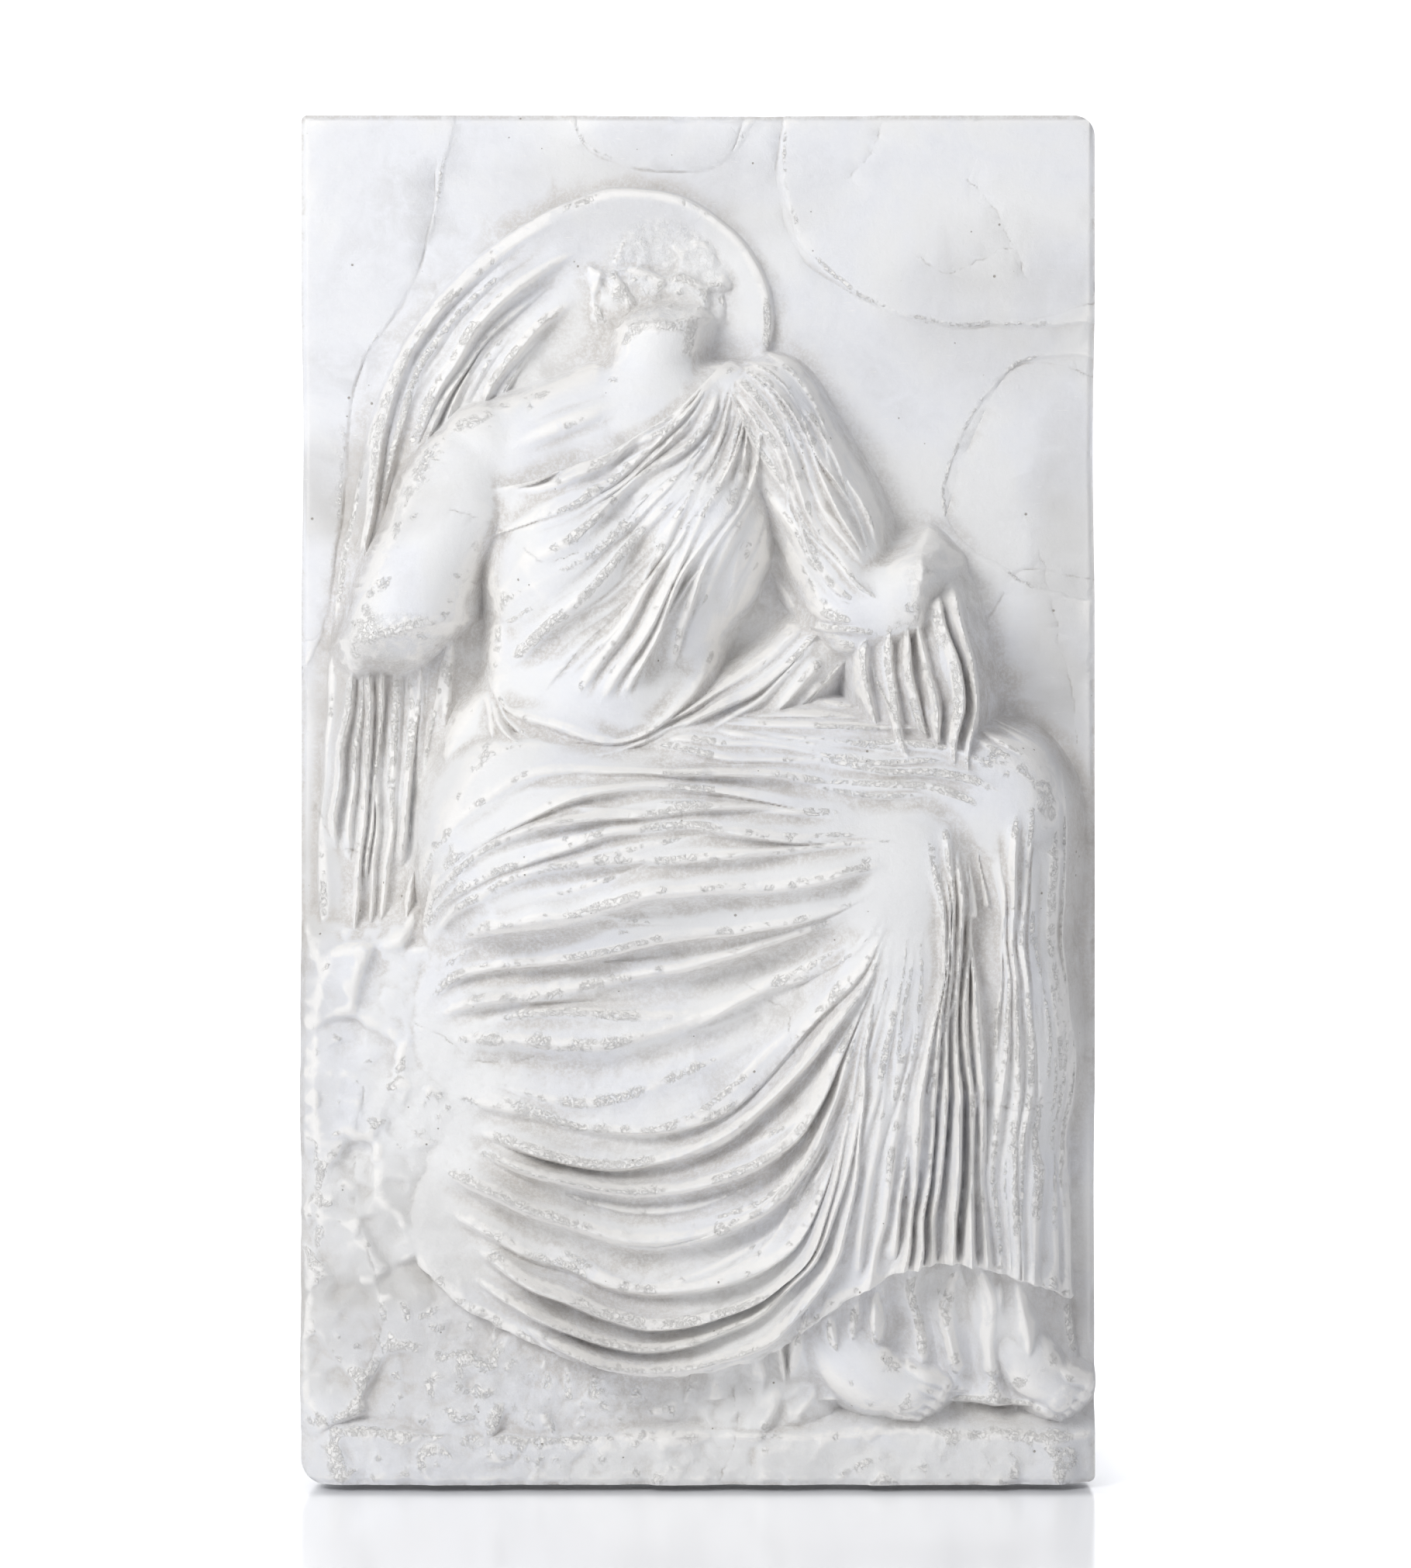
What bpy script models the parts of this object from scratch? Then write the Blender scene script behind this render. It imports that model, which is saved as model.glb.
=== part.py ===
"""Plaster relief plaque: an upright slab with a worn, headless, draped figure on a rock.

The front faces -Y, +Z is up, and the origin is the middle of the flat back.
The relief is worked out as a height over the slab: rounded body forms first, then
families of folds that run from one guide line to the next, then what is broken off.
"""
from dataclasses import dataclass

import bmesh
import bpy
import numpy as np

# Slab, metres
SLAB_WIDTH = 0.617
SLAB_HEIGHT = 1.060
SLAB_THICKNESS = 0.050
CORNER_LOW_LEFT = 0.018      # radius of the worn corner
CORNER_TOP_RIGHT = 0.017     # radius of the knocked corner
CORNER_OTHER = 0.005
RIM_ROUNDING = 0.0025        # worn front arris
EDGE_WAVE = 0.0009           # the sides aren't quite straight

# Relief, metres
LEDGE_HEIGHT = 0.062         # strip of ground under the feet
LEDGE_DEPTH = 0.036
LEDGE_SLOPE = 0.024          # height over which its upper edge comes up
LEDGE_END = 0.034            # worn end, where it gets shallower towards the slab's side
FIGURE_UNIT = SLAB_HEIGHT * 0.9292   # one unit of the figure's own drawing
DEPTH_UNIT = 0.108           # one unit of its modelling depth
FLAT_FROM = 0.084            # fullest forms are flattened beyond this
FLAT_KEEP = 0.62             # share of the height that is kept there
WALL_SLOPE = 3.0             # how steeply a form falls to the ground behind it

# Mesh
CARVE_STEP = 0.0028
FRONT_TRIANGLES = 9300
SIDE_RINGS = 3
SNAP = 0.0012                # thinning moves the lowest points by less than this
PLASTER = (0.84, 0.83, 0.81, 1.0)


# Curves and fields
def ease(value, start, end):
    """Smooth step from 0 at start to 1 at end."""
    share = np.clip((value - start) / (end - start), 0, 1)
    return share * share * (3 - 2 * share)


def smooth_max(a, b, width):
    """The larger height, with the crease rounded over this width."""
    near = np.maximum(width - np.abs(a - b), 0)
    return np.maximum(a, b) + near * near / (4 * width)


def join(fields, width):
    """Several forms run together."""
    out = fields[0]
    for field in fields[1:]:
        out = smooth_max(out, field, width)
    return out


def spline_point(a, b, c, d, f):
    """Catmull-Rom between b and c."""
    return 0.5 * (2 * b + (c - a) * f + (2 * a - 5 * b + 4 * c - d) * f**2 + (3 * b - a - 3 * c + d) * f**3)


def curve(points, samples=48):
    """Smooth line through the points; further columns such as a radius ride along."""
    p = np.asarray(points, float)
    if len(p) == 2:
        share = np.linspace(0, 1, samples)[:, None]
        return p[0] * (1 - share) + p[1] * share
    padded = np.vstack([2 * p[0] - p[1], p, 2 * p[-1] - p[-2]])
    chord = np.linalg.norm(np.diff(p[:, :2], axis=0), axis=1)
    stops = np.concatenate([[0], np.cumsum(chord)]) / chord.sum()
    share = np.linspace(0, 1, samples)
    k = np.clip(np.searchsorted(stops, share, side="right") - 1, 0, len(p) - 2)
    f = ((share - stops[k]) / (stops[k + 1] - stops[k]))[:, None]
    return spline_point(padded[k], padded[k + 1], padded[k + 2], padded[k + 3], f)


def closed_curve(points, per_point=14):
    """Smooth closed outline through the points."""
    p = np.asarray(points, float)
    count = len(p)
    rows = [
        spline_point(p[k - 1], p[k], p[(k + 1) % count], p[(k + 2) % count], f)
        for k in range(count)
        for f in np.arange(per_point) / per_point
    ]
    return np.array(rows + [rows[0]])


def arc_shares(line):
    """Share of the whole length at each point of a line."""
    run = np.concatenate([[0], np.cumsum(np.linalg.norm(np.diff(line[:, :2], axis=0), axis=1))])
    return run / run[-1]


def soften(field, cells):
    """Three box blurs each way, close to a Gaussian."""
    reach = max(1, int(cells))
    out = field
    for _ in range(3):
        for axis in (0, 1):
            pad = [(0, 0), (0, 0)]
            pad[axis] = (reach + 1, reach)
            total = np.cumsum(np.pad(out, pad, mode="edge"), axis=axis)
            lead = [slice(None)] * 2
            lag = [slice(None)] * 2
            lead[axis] = slice(2 * reach + 1, None)
            lag[axis] = slice(None, -(2 * reach + 1))
            out = (total[tuple(lead)] - total[tuple(lag)]) / (2 * reach + 1)
    return out


@dataclass
class Grid:
    """Regular rows and columns over the slab, and the carving coordinates at each crossing."""

    step: float

    def __post_init__(self):
        columns = int(round(SLAB_WIDTH / self.step)) + 1
        rows = int(round(SLAB_HEIGHT / self.step)) + 1
        self.xs = np.linspace(-SLAB_WIDTH / 2, SLAB_WIDTH / 2, columns)
        self.zs = np.linspace(0, SLAB_HEIGHT, rows)
        self.step = self.xs[1] - self.xs[0]
        self.x, self.z = np.meshgrid(self.xs, self.zs)
        self.flat_x, self.flat_z = self.x, self.z
        # A hand-cut line never runs quite true
        shift_x = 0.0045 * self.noise(0.085, 301) + 0.0016 * self.noise(0.030, 302)
        shift_z = 0.0045 * self.noise(0.085, 303) + 0.0016 * self.noise(0.030, 304)
        self.x = self.x + shift_x
        self.z = self.z + shift_z

    def window(self, low, high):
        """Slices of the rows and columns that lie between two corners."""
        c0 = max(0, int(np.searchsorted(self.xs, low[0])))
        c1 = min(len(self.xs), int(np.searchsorted(self.xs, high[0])) + 1)
        r0 = max(0, int(np.searchsorted(self.zs, low[1])))
        r1 = min(len(self.zs), int(np.searchsorted(self.zs, high[1])) + 1)
        return slice(r0, max(r0, r1)), slice(c0, max(c0, c1))

    def noise(self, size, seed):
        """Smooth random field from -1 to 1 with lumps of this size."""
        rng = np.random.default_rng(seed)
        fx = (self.xs - self.xs[0]) / size
        fz = (self.zs - self.zs[0]) / size
        values = rng.uniform(-1, 1, (int(fz[-1]) + 4, int(fx[-1]) + 4))
        ix, iz = fx.astype(int), fz.astype(int)
        tx, tz = ease(fx - ix, 0, 1), ease(fz - iz, 0, 1)[:, None]
        low = values[np.ix_(iz, ix)] * (1 - tx) + values[np.ix_(iz, ix + 1)] * tx
        top = values[np.ix_(iz + 1, ix)] * (1 - tx) + values[np.ix_(iz + 1, ix + 1)] * tx
        return low * (1 - tz) + top * tz

    def rough(self, size, octaves, seed, gain=0.55):
        """Several noises, each finer and weaker than the last."""
        parts = [gain**k * self.noise(size / 2**k, seed + 17 * k) for k in range(octaves)]
        return sum(parts) / sum(gain**k for k in range(octaves))

    def facets(self, size, seed, tilt, offset):
        """Broken stone: cells that each lie on a plane of their own tilt."""
        rng = np.random.default_rng(seed)
        columns = int(SLAB_WIDTH / size) + 3
        rows = int(SLAB_HEIGHT / size) + 3
        px = self.xs[0] + (np.arange(columns)[None, :] - 1 + rng.uniform(0, 1, (rows, columns))) * size
        pz = self.zs[0] + (np.arange(rows)[:, None] - 1 + rng.uniform(0, 1, (rows, columns))) * size
        slopes = rng.uniform(-tilt, tilt, (px.size, 2))
        levels = rng.uniform(-offset, offset, px.size)
        best = np.full(self.x.shape, np.inf)
        out = np.zeros(self.x.shape)
        for k, (cx, cz) in enumerate(zip(px.ravel(), pz.ravel())):
            win = self.window((cx - 2.2 * size, cz - 2.2 * size), (cx + 2.2 * size, cz + 2.2 * size))
            dx, dz = self.x[win] - cx, self.z[win] - cz
            distance = dx * dx + dz * dz
            near = distance < best[win]
            best[win] = np.where(near, distance, best[win])
            out[win] = np.where(near, levels[k] + slopes[k, 0] * dx + slopes[k, 1] * dz, out[win])
        return out

    def nearest(self, line, reach):
        """Distance, side (+1 left of travel) and share of length of the nearest point of a line."""
        xy = line[:, :2]
        win = self.window(xy.min(0) - reach, xy.max(0) + reach)
        r0, c0 = win[0].start, win[1].start
        x, z = self.x[win], self.z[win]
        best = np.full(x.shape, np.inf)
        side = np.zeros(x.shape)
        place = np.zeros(x.shape)
        shares = arc_shares(xy)
        for k in range(len(xy) - 1):
            a, b = xy[k], xy[k + 1]
            part = self.window(np.minimum(a, b) - reach, np.maximum(a, b) + reach)
            sub = (
                slice(part[0].start - r0, part[0].stop - r0),
                slice(part[1].start - c0, part[1].stop - c0),
            )
            px, pz = x[sub] - a[0], z[sub] - a[1]
            dx, dz = b - a
            f = np.clip((px * dx + pz * dz) / max(dx * dx + dz * dz, 1e-12), 0, 1)
            distance = (px - f * dx) ** 2 + (pz - f * dz) ** 2
            near = distance < best[sub]
            best[sub] = np.where(near, distance, best[sub])
            side[sub] = np.where(near, np.sign(dx * pz - dz * px), side[sub])
            place[sub] = np.where(near, shares[k] + f * (shares[k + 1] - shares[k]), place[sub])
        return win, np.sqrt(best), side, place


def ridge(share, sharp, blunt=0.09):
    """Cross-section of a fold: a narrow crest, 1 high and a little blunt, between scooped flanks."""
    run = (np.sqrt(share**2 + blunt**2) - blunt) / (np.sqrt(1 + blunt**2) - blunt)
    return (1 - run) ** (1 + sharp)


class Carver:
    """Forms, edges and folds, drawn in the figure's own units."""

    def __init__(self, grid):
        self.grid = grid

    def on_slab(self, points):
        """The figure's units to metres on the slab; further columns stay."""
        out = np.array(points, float)
        out[..., 0] *= FIGURE_UNIT
        out[..., 1] = out[..., 1] * FIGURE_UNIT + LEDGE_HEIGHT
        return out

    def limb(self, stations, flat=1.0, wall=WALL_SLOPE):
        """Rounded tapering form along stations of (x, z, depth, radius)."""
        line = curve(self.on_slab(stations), 36)
        depth, radius = line[:, 2] * DEPTH_UNIT, line[:, 3] * FIGURE_UNIT
        reach = radius.max() + 1.3 * DEPTH_UNIT / wall + 0.006
        win, distance, _, place = self.grid.nearest(line, reach)
        shares = arc_shares(line)
        d = np.interp(place, shares, depth)
        r = np.interp(place, shares, radius)
        tangent = np.hypot(1, wall / flat)
        turn = r * (wall / flat) / tangent
        crown = d + np.sqrt(np.clip(r * r - distance * distance, 0, None)) * flat
        side = d + flat * r / tangent - wall * (distance - turn)
        out = np.full(self.grid.x.shape, -1.0)
        out[win] = np.where(np.isfinite(distance), np.where(distance < turn, crown, side), -1.0)
        return out

    def local(self, x, z, rx, rz, turn):
        """Coordinates in a turned ellipse, 1 at its rim."""
        cx, cz = self.on_slab((x, z))
        ca, sa = np.cos(np.radians(turn)), np.sin(np.radians(turn))
        px, pz = self.grid.x - cx, self.grid.z - cz
        u = (px * ca + pz * sa) / (rx * FIGURE_UNIT)
        v = (-px * sa + pz * ca) / (rz * FIGURE_UNIT)
        return np.hypot(u, v)

    def lump(self, x, z, rx, rz, depth, out, turn=0.0):
        """Half ellipsoid that stands out from a depth."""
        e = self.local(x, z, rx, rz, turn)
        crown = (depth + np.sqrt(np.clip(1 - e * e, 0, None)) * out) * DEPTH_UNIT
        slope = WALL_SLOPE * min(rx, rz) * FIGURE_UNIT / (out * DEPTH_UNIT)
        tangent = np.hypot(1, slope)
        side = (depth + out / tangent - out * slope * (e - slope / tangent)) * DEPTH_UNIT
        return np.where(e < slope / tangent, crown, side)

    def swelling(self, x, z, rx, rz, turn=0.0):
        """Soft bell, 1 in the middle and 0 at the rim."""
        return np.clip(1 - self.local(x, z, rx, rz, turn) ** 2, 0, 1) ** 2

    def side_of(self, points):
        """Signed distance to a line, positive on the left of travel."""
        win, distance, side, _ = self.grid.nearest(curve(self.on_slab(points), 80), 2.0)
        out = np.zeros(self.grid.x.shape)
        out[win] = distance * side
        return out

    def inside(self, points):
        """Signed distance to a closed outline, positive inside."""
        line = closed_curve(self.on_slab(points))
        x, z = self.grid.x, self.grid.z
        best = np.full(x.shape, np.inf)
        odd = np.zeros(x.shape, bool)
        for a, b in zip(line[:-1], line[1:]):
            dx, dz = b - a
            f = np.clip(((x - a[0]) * dx + (z - a[1]) * dz) / max(dx * dx + dz * dz, 1e-12), 0, 1)
            best = np.minimum(best, (x - a[0] - f * dx) ** 2 + (z - a[1] - f * dz) ** 2)
            if abs(dz) > 1e-12:
                odd ^= ((a[1] > z) != (b[1] > z)) & (x < dx * (z - a[1]) / dz + a[0])
        return np.where(odd, 1, -1) * np.sqrt(best)

    def fold_lines(self, guides, count, rng, sway, merge):
        """Crest lines spread over the guides, wavering, some of them running together."""
        g = np.stack([curve(self.on_slab(points)) for points in guides])
        last = len(g) - 1
        places = np.linspace(0, 1, count)
        jitter = rng.uniform(-1, 1, count) * 0.42 / max(count - 1, 1)
        jitter[[0, -1]] *= 0.3
        lines = []
        for place in np.clip(places + jitter, 0, 1) * last:
            k = min(int(place), last - 1)
            before = g[k - 1] if k > 0 else 2 * g[0] - g[1]
            after = g[k + 2] if k + 2 <= last else 2 * g[last] - g[last - 1]
            lines.append(spline_point(before, g[k], g[k + 1], after, place - k))
        lines = np.array(lines)
        share = np.linspace(0, 1, lines.shape[1])
        for line in lines:
            phase, turns = rng.uniform(0, 2 * np.pi), rng.uniform(0.8, 2.2)
            along = np.gradient(line, axis=0)
            across = np.stack([-along[:, 1], along[:, 0]], 1)
            across /= np.linalg.norm(across, axis=1, keepdims=True) + 1e-9
            waver = np.sin(phase + turns * 2 * np.pi * share) * np.sin(np.pi * share) * sway
            line += across * waver[:, None]
        k = 0
        while k < count - 1:
            if rng.uniform() < merge:
                late = rng.uniform() < 0.5
                pull = ease(share, 0.45, 0.95) if late else 1 - ease(share, 0.05, 0.55)
                middle = (lines[k] + lines[k + 1]) / 2
                lines[k] += (middle - lines[k]) * (0.95 * pull)[:, None]
                lines[k + 1] += (middle - lines[k + 1]) * (0.95 * pull)[:, None]
                k += 1
            k += 1
        return lines

    def folds(self, guides, count, height, seed, sharp=1.5, lean=0.35, rise=0.12, fall=0.10, stagger=0.1,
              vary=0.4, fill=1.0, sway=0.004, merge=0.45, narrow=0.010):
        """Height of a family of folds that runs from guide to guide.

        Lean makes the flank towards the next guide the steep one. Narrow is the gap
        under which folds get lower.
        """
        rng = np.random.default_rng(seed)
        lines = self.fold_lines(guides, count, rng, sway, merge)
        out = np.zeros(self.grid.x.shape)
        for k, line in enumerate(lines):
            nearby = lines[k - 1] if k > 0 else lines[k + 1]
            other = lines[k + 1] if k < count - 1 else lines[k - 1]
            gap_back = np.linalg.norm(line - nearby, axis=1)
            gap_on = np.linalg.norm(line - other, axis=1)
            size = height * (1 + vary * rng.uniform(-1, 1))
            start, end = stagger * rng.uniform(0, 1), 1 - stagger * rng.uniform(0, 1)
            phase, turns = rng.uniform(0, 2 * np.pi), rng.uniform(1.0, 2.5)
            reach = max(gap_back.max(), gap_on.max()) * fill + 0.006
            win, distance, side, place = self.grid.nearest(line, reach)
            shares = arc_shares(line)
            back = np.interp(place, shares, np.maximum(gap_back, 0.003)) * fill
            on = np.interp(place, shares, np.maximum(gap_on, 0.003)) * fill
            mid = len(line) // 2
            dx, dz = line[mid + 1] - line[mid - 1]
            px, pz = other[mid] - line[mid]
            next_side = np.sign(dx * pz - dz * px) * (1 if k < count - 1 else -1)
            flank = np.where(side * next_side > 0, on * (1 - lean), back * (1 + lean))
            x = np.clip(distance / flank, 0, 1)
            profile = ridge(x, sharp)
            along = ease(place, start - 1e-6, start + rise) * (1 - ease(place, end - fall, end + 1e-6))
            along = along * (1 + 0.25 * np.sin(phase + turns * 2 * np.pi * place))
            thin = np.minimum(1, (np.minimum(back, on) / narrow) ** 0.7)
            crest = np.where(np.isfinite(distance), size * profile * along * thin, 0)
            out[win] = np.maximum(out[win], crest)
        return out

    def crowns(self, body, size=0.022, full=0.010):
        """1 where cloth is stretched over a full form, 0 in the hollows."""
        return ease(body - soften(body, size / self.grid.step), 0.0005, full)


# The figure, in its own units: x across, z up from the ground, depth, radius
THIGH_TO_HEM = (
    ((0.184, 0.462), (0.090, 0.486), (-0.02, 0.500), (-0.13, 0.490), (-0.205, 0.440), (-0.228, 0.370)),
    ((0.176, 0.444), (0.090, 0.448), (-0.02, 0.452), (-0.12, 0.440), (-0.195, 0.395), (-0.226, 0.335)),
    ((0.168, 0.424), (0.092, 0.404), (-0.01, 0.386), (-0.11, 0.375), (-0.185, 0.350), (-0.228, 0.305)),
    ((0.160, 0.408), (0.106, 0.345), (0.018, 0.290), (-0.08, 0.268), (-0.165, 0.275), (-0.224, 0.275)),
    ((0.152, 0.398), (0.114, 0.285), (0.042, 0.200), (-0.05, 0.170), (-0.140, 0.190), (-0.220, 0.225)),
    ((0.146, 0.385), (0.118, 0.225), (0.060, 0.125), (-0.03, 0.088), (-0.120, 0.110), (-0.212, 0.165)),
    ((0.140, 0.370), (0.118, 0.170), (0.070, 0.070), (-0.01, 0.030), (-0.105, 0.042), (-0.205, 0.105)),
)
MANTLE_HEM = (
    (-0.235, 0.120), (-0.16, 0.062), (-0.08, 0.032), (0.01, 0.026), (0.075, 0.050), (0.13, 0.092), (0.20, 0.108),
    (0.31, 0.080),
)
NECKLINE = ((0.040, 0.85), (0.016, 0.812), (-0.028, 0.764), (-0.092, 0.732), (-0.160, 0.716), (-0.24, 0.70))


def veil(carver):
    """Mantle that was drawn over the head and falls behind the back."""
    edge = carver.inside((
        (0.055, 0.83), (0.040, 0.910), (-0.020, 0.952), (-0.105, 0.945), (-0.190, 0.888), (-0.250, 0.795),
        (-0.284, 0.660), (-0.294, 0.520), (-0.290, 0.34), (-0.20, 0.25), (-0.08, 0.40), (-0.02, 0.70),
    ))
    sheet = 0.010 * ease(edge, -0.002, 0.003) * (1 - 0.45 * ease(edge, 0.002, 0.045))
    folds = carver.folds((
        ((-0.030, 0.945), (-0.130, 0.920), (-0.215, 0.835), (-0.262, 0.68), (-0.280, 0.50), (-0.282, 0.33)),
        ((-0.080, 0.900), (-0.130, 0.865), (-0.182, 0.800), (-0.232, 0.66), (-0.250, 0.50), (-0.254, 0.33)),
        ((-0.100, 0.850), (-0.135, 0.815), (-0.160, 0.750), (-0.190, 0.63), (-0.208, 0.50), (-0.215, 0.33)),
    ), 9, 0.016, seed=71, sharp=1.7, fall=0.05, stagger=0.15, vary=0.45)
    return sheet + folds * ease(edge, 0.0, 0.006)


def rock(carver):
    """Rough seat that fills the lower left."""
    grid = carver.grid
    edge = carver.inside((
        (-0.300, 0.335), (-0.240, 0.375), (-0.15, 0.38), (0.05, 0.33), (0.10, 0.10), (0.06, -0.03),
        (-0.288, -0.03), (-0.306, 0.15),
    ))
    stone = soften(grid.facets(0.052, 41, 0.22, 0.004), 0.0026 / grid.step) + 0.008 * grid.rough(0.110, 3, 47)
    return np.where(edge > -0.03, 0.026 + stone - 0.9 * np.clip(0.008 - edge, 0, None), -1)


def trunk(carver):
    """Chest, waist, hips, shoulders and neck under the cloth."""
    core = join([
        carver.lump(-0.058, 0.692, 0.112, 0.124, 0.20, 0.42, turn=-10),
        carver.lump(-0.074, 0.590, 0.088, 0.110, 0.22, 0.36, turn=-6),
        carver.lump(-0.084, 0.485, 0.122, 0.105, 0.22, 0.40, turn=4),
    ], 0.036)
    shoulders = carver.limb((
        (-0.166, 0.732, 0.20, 0.043), (-0.120, 0.755, 0.16, 0.040), (-0.056, 0.772, 0.12, 0.036),
        (0.006, 0.778, 0.14, 0.037), (0.056, 0.768, 0.16, 0.040),
    ))
    neck = carver.limb(((-0.042, 0.770, 0.20, 0.034), (-0.032, 0.825, 0.27, 0.030), (-0.024, 0.880, 0.30, 0.030)))
    body = smooth_max(smooth_max(core, shoulders, 0.036), neck, 0.024)
    body = body + 0.030 * carver.swelling(-0.108, 0.668, 0.068, 0.074, -12)
    body = body + 0.028 * carver.swelling(0.006, 0.690, 0.060, 0.072, 16)
    body = body + 0.006 * carver.swelling(-0.104, 0.764, 0.060, 0.012, 20)
    return body + 0.009 * carver.swelling(-0.078, 0.550, 0.075, 0.060)


def dressed_trunk(carver):
    """The trunk in thin cloth that hangs from the far shoulder, and the break at the neck."""
    body = trunk(carver)
    crowns = carver.crowns(body, 0.020, 0.008)
    fan = carver.folds((
        ((0.022, 0.828), (-0.020, 0.778), (-0.085, 0.742), (-0.190, 0.716)),
        ((0.028, 0.826), (-0.008, 0.750), (-0.080, 0.690), (-0.192, 0.640)),
        ((0.034, 0.824), (0.004, 0.730), (-0.062, 0.645), (-0.160, 0.560)),
        ((0.042, 0.820), (0.020, 0.725), (-0.030, 0.630), (-0.090, 0.540)),
        ((0.052, 0.812), (0.042, 0.720), (0.004, 0.640), (-0.030, 0.560)),
        ((0.066, 0.800), (0.070, 0.720), (0.044, 0.645), (0.030, 0.580)),
    ), 19, 0.014, seed=11, sharp=1.9, rise=0.06, fall=0.12, stagger=0.16, vary=0.5, sway=0.005, merge=0.55)
    belly = carver.folds((
        ((-0.168, 0.590), (-0.150, 0.540), (-0.078, 0.520), (-0.010, 0.548), (0.020, 0.600)),
        ((-0.176, 0.560), (-0.150, 0.495), (-0.078, 0.470), (-0.010, 0.505), (0.030, 0.570)),
    ), 5, 0.012, seed=24, sharp=1.6, lean=0.4, rise=0.1)
    cloth = np.maximum(fan * (1 - 0.60 * crowns), belly * (1 - 0.50 * crowns)) + 0.004
    out = body + cloth * ease(carver.side_of(NECKLINE), -0.0012, 0.0012)
    above_break = carver.side_of(((-0.12, 0.856), (-0.045, 0.846), (0.04, 0.862)))
    return out - 2.4 * np.clip(above_break + 0.006 * carver.grid.rough(0.030, 4, 77), 0, None)


def head_scar(carver):
    """Rough patch where the head was broken away."""
    edge = carver.inside((
        (-0.075, 0.842), (-0.085, 0.885), (-0.060, 0.930), (-0.015, 0.938), (0.022, 0.905), (0.026, 0.862),
        (0.000, 0.838),
    ))
    edge = edge + 0.007 * carver.grid.rough(0.040, 3, 92)
    stone = 0.013 + soften(carver.grid.facets(0.026, 91, 0.32, 0.004), 0.0026 / carver.grid.step)
    stone = stone + 0.005 * carver.grid.rough(0.034, 3, 88, 0.5)
    return np.where(edge > -0.03, stone - 1.4 * np.clip(0.008 - edge, 0, None), -1)


def legs(carver):
    """Near and far leg, each thigh run into its shin."""
    near = join([
        carver.limb((
            (-0.128, 0.450, 0.26, 0.084), (-0.03, 0.446, 0.38, 0.076), (0.080, 0.432, 0.46, 0.064),
            (0.158, 0.420, 0.50, 0.053),
        ), wall=2.2),
        carver.limb((
            (0.158, 0.414, 0.50, 0.052), (0.148, 0.31, 0.42, 0.048), (0.126, 0.17, 0.34, 0.036),
            (0.108, 0.060, 0.28, 0.027),
        ), wall=1.3),
    ], 0.036)
    far = join([
        carver.limb(((0.0, 0.485, 0.18, 0.070), (0.10, 0.484, 0.24, 0.064), (0.228, 0.474, 0.30, 0.052))),
        carver.limb((
            (0.232, 0.468, 0.30, 0.050), (0.240, 0.34, 0.24, 0.046), (0.240, 0.18, 0.18, 0.035),
            (0.240, 0.07, 0.16, 0.027),
        ), wall=2.2),
    ], 0.030)
    return near, far


def feet(carver):
    """Both feet, toes to the right."""
    near = carver.limb(((0.104, 0.058, 0.26, 0.028), (0.135, 0.022, 0.34, 0.026), (0.172, 0.008, 0.38, 0.018)))
    far = carver.limb(((0.238, 0.066, 0.12, 0.027), (0.260, 0.030, 0.22, 0.024), (0.286, 0.012, 0.26, 0.017)))
    return np.maximum(near, far)


def curtain(carver):
    """Mass of cloth that hangs from the thighs to the ground, between two uneven outlines."""
    grid = carver.grid
    left = curve(carver.on_slab((
        (-0.215, -0.01), (-0.200, 0.06), (-0.232, 0.14), (-0.212, 0.20), (-0.236, 0.29), (-0.214, 0.37),
        (-0.20, 0.48),
    )), 60)
    right = curve(carver.on_slab(((0.298, 0.0), (0.294, 0.18), (0.286, 0.35), (0.282, 0.50))), 60)
    x_left = np.interp(grid.z, left[:, 1], left[:, 0])
    x_right = np.interp(grid.z, right[:, 1], right[:, 0])
    half = (x_right - x_left) / 2
    across = np.abs((grid.x - (x_left + x_right) / 2) / half)
    dome = 0.034 * (1 - np.clip(across, 0, 1) ** 5) ** 0.2
    out = np.where(across < 1, dome, -WALL_SLOPE * (across - 1) * half)
    top = 0.43 * FIGURE_UNIT + LEDGE_HEIGHT
    return out - 2.5 * np.clip(grid.z - top, 0, None) - 6.0 * np.clip(LEDGE_HEIGHT - grid.z, 0, None)


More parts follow.
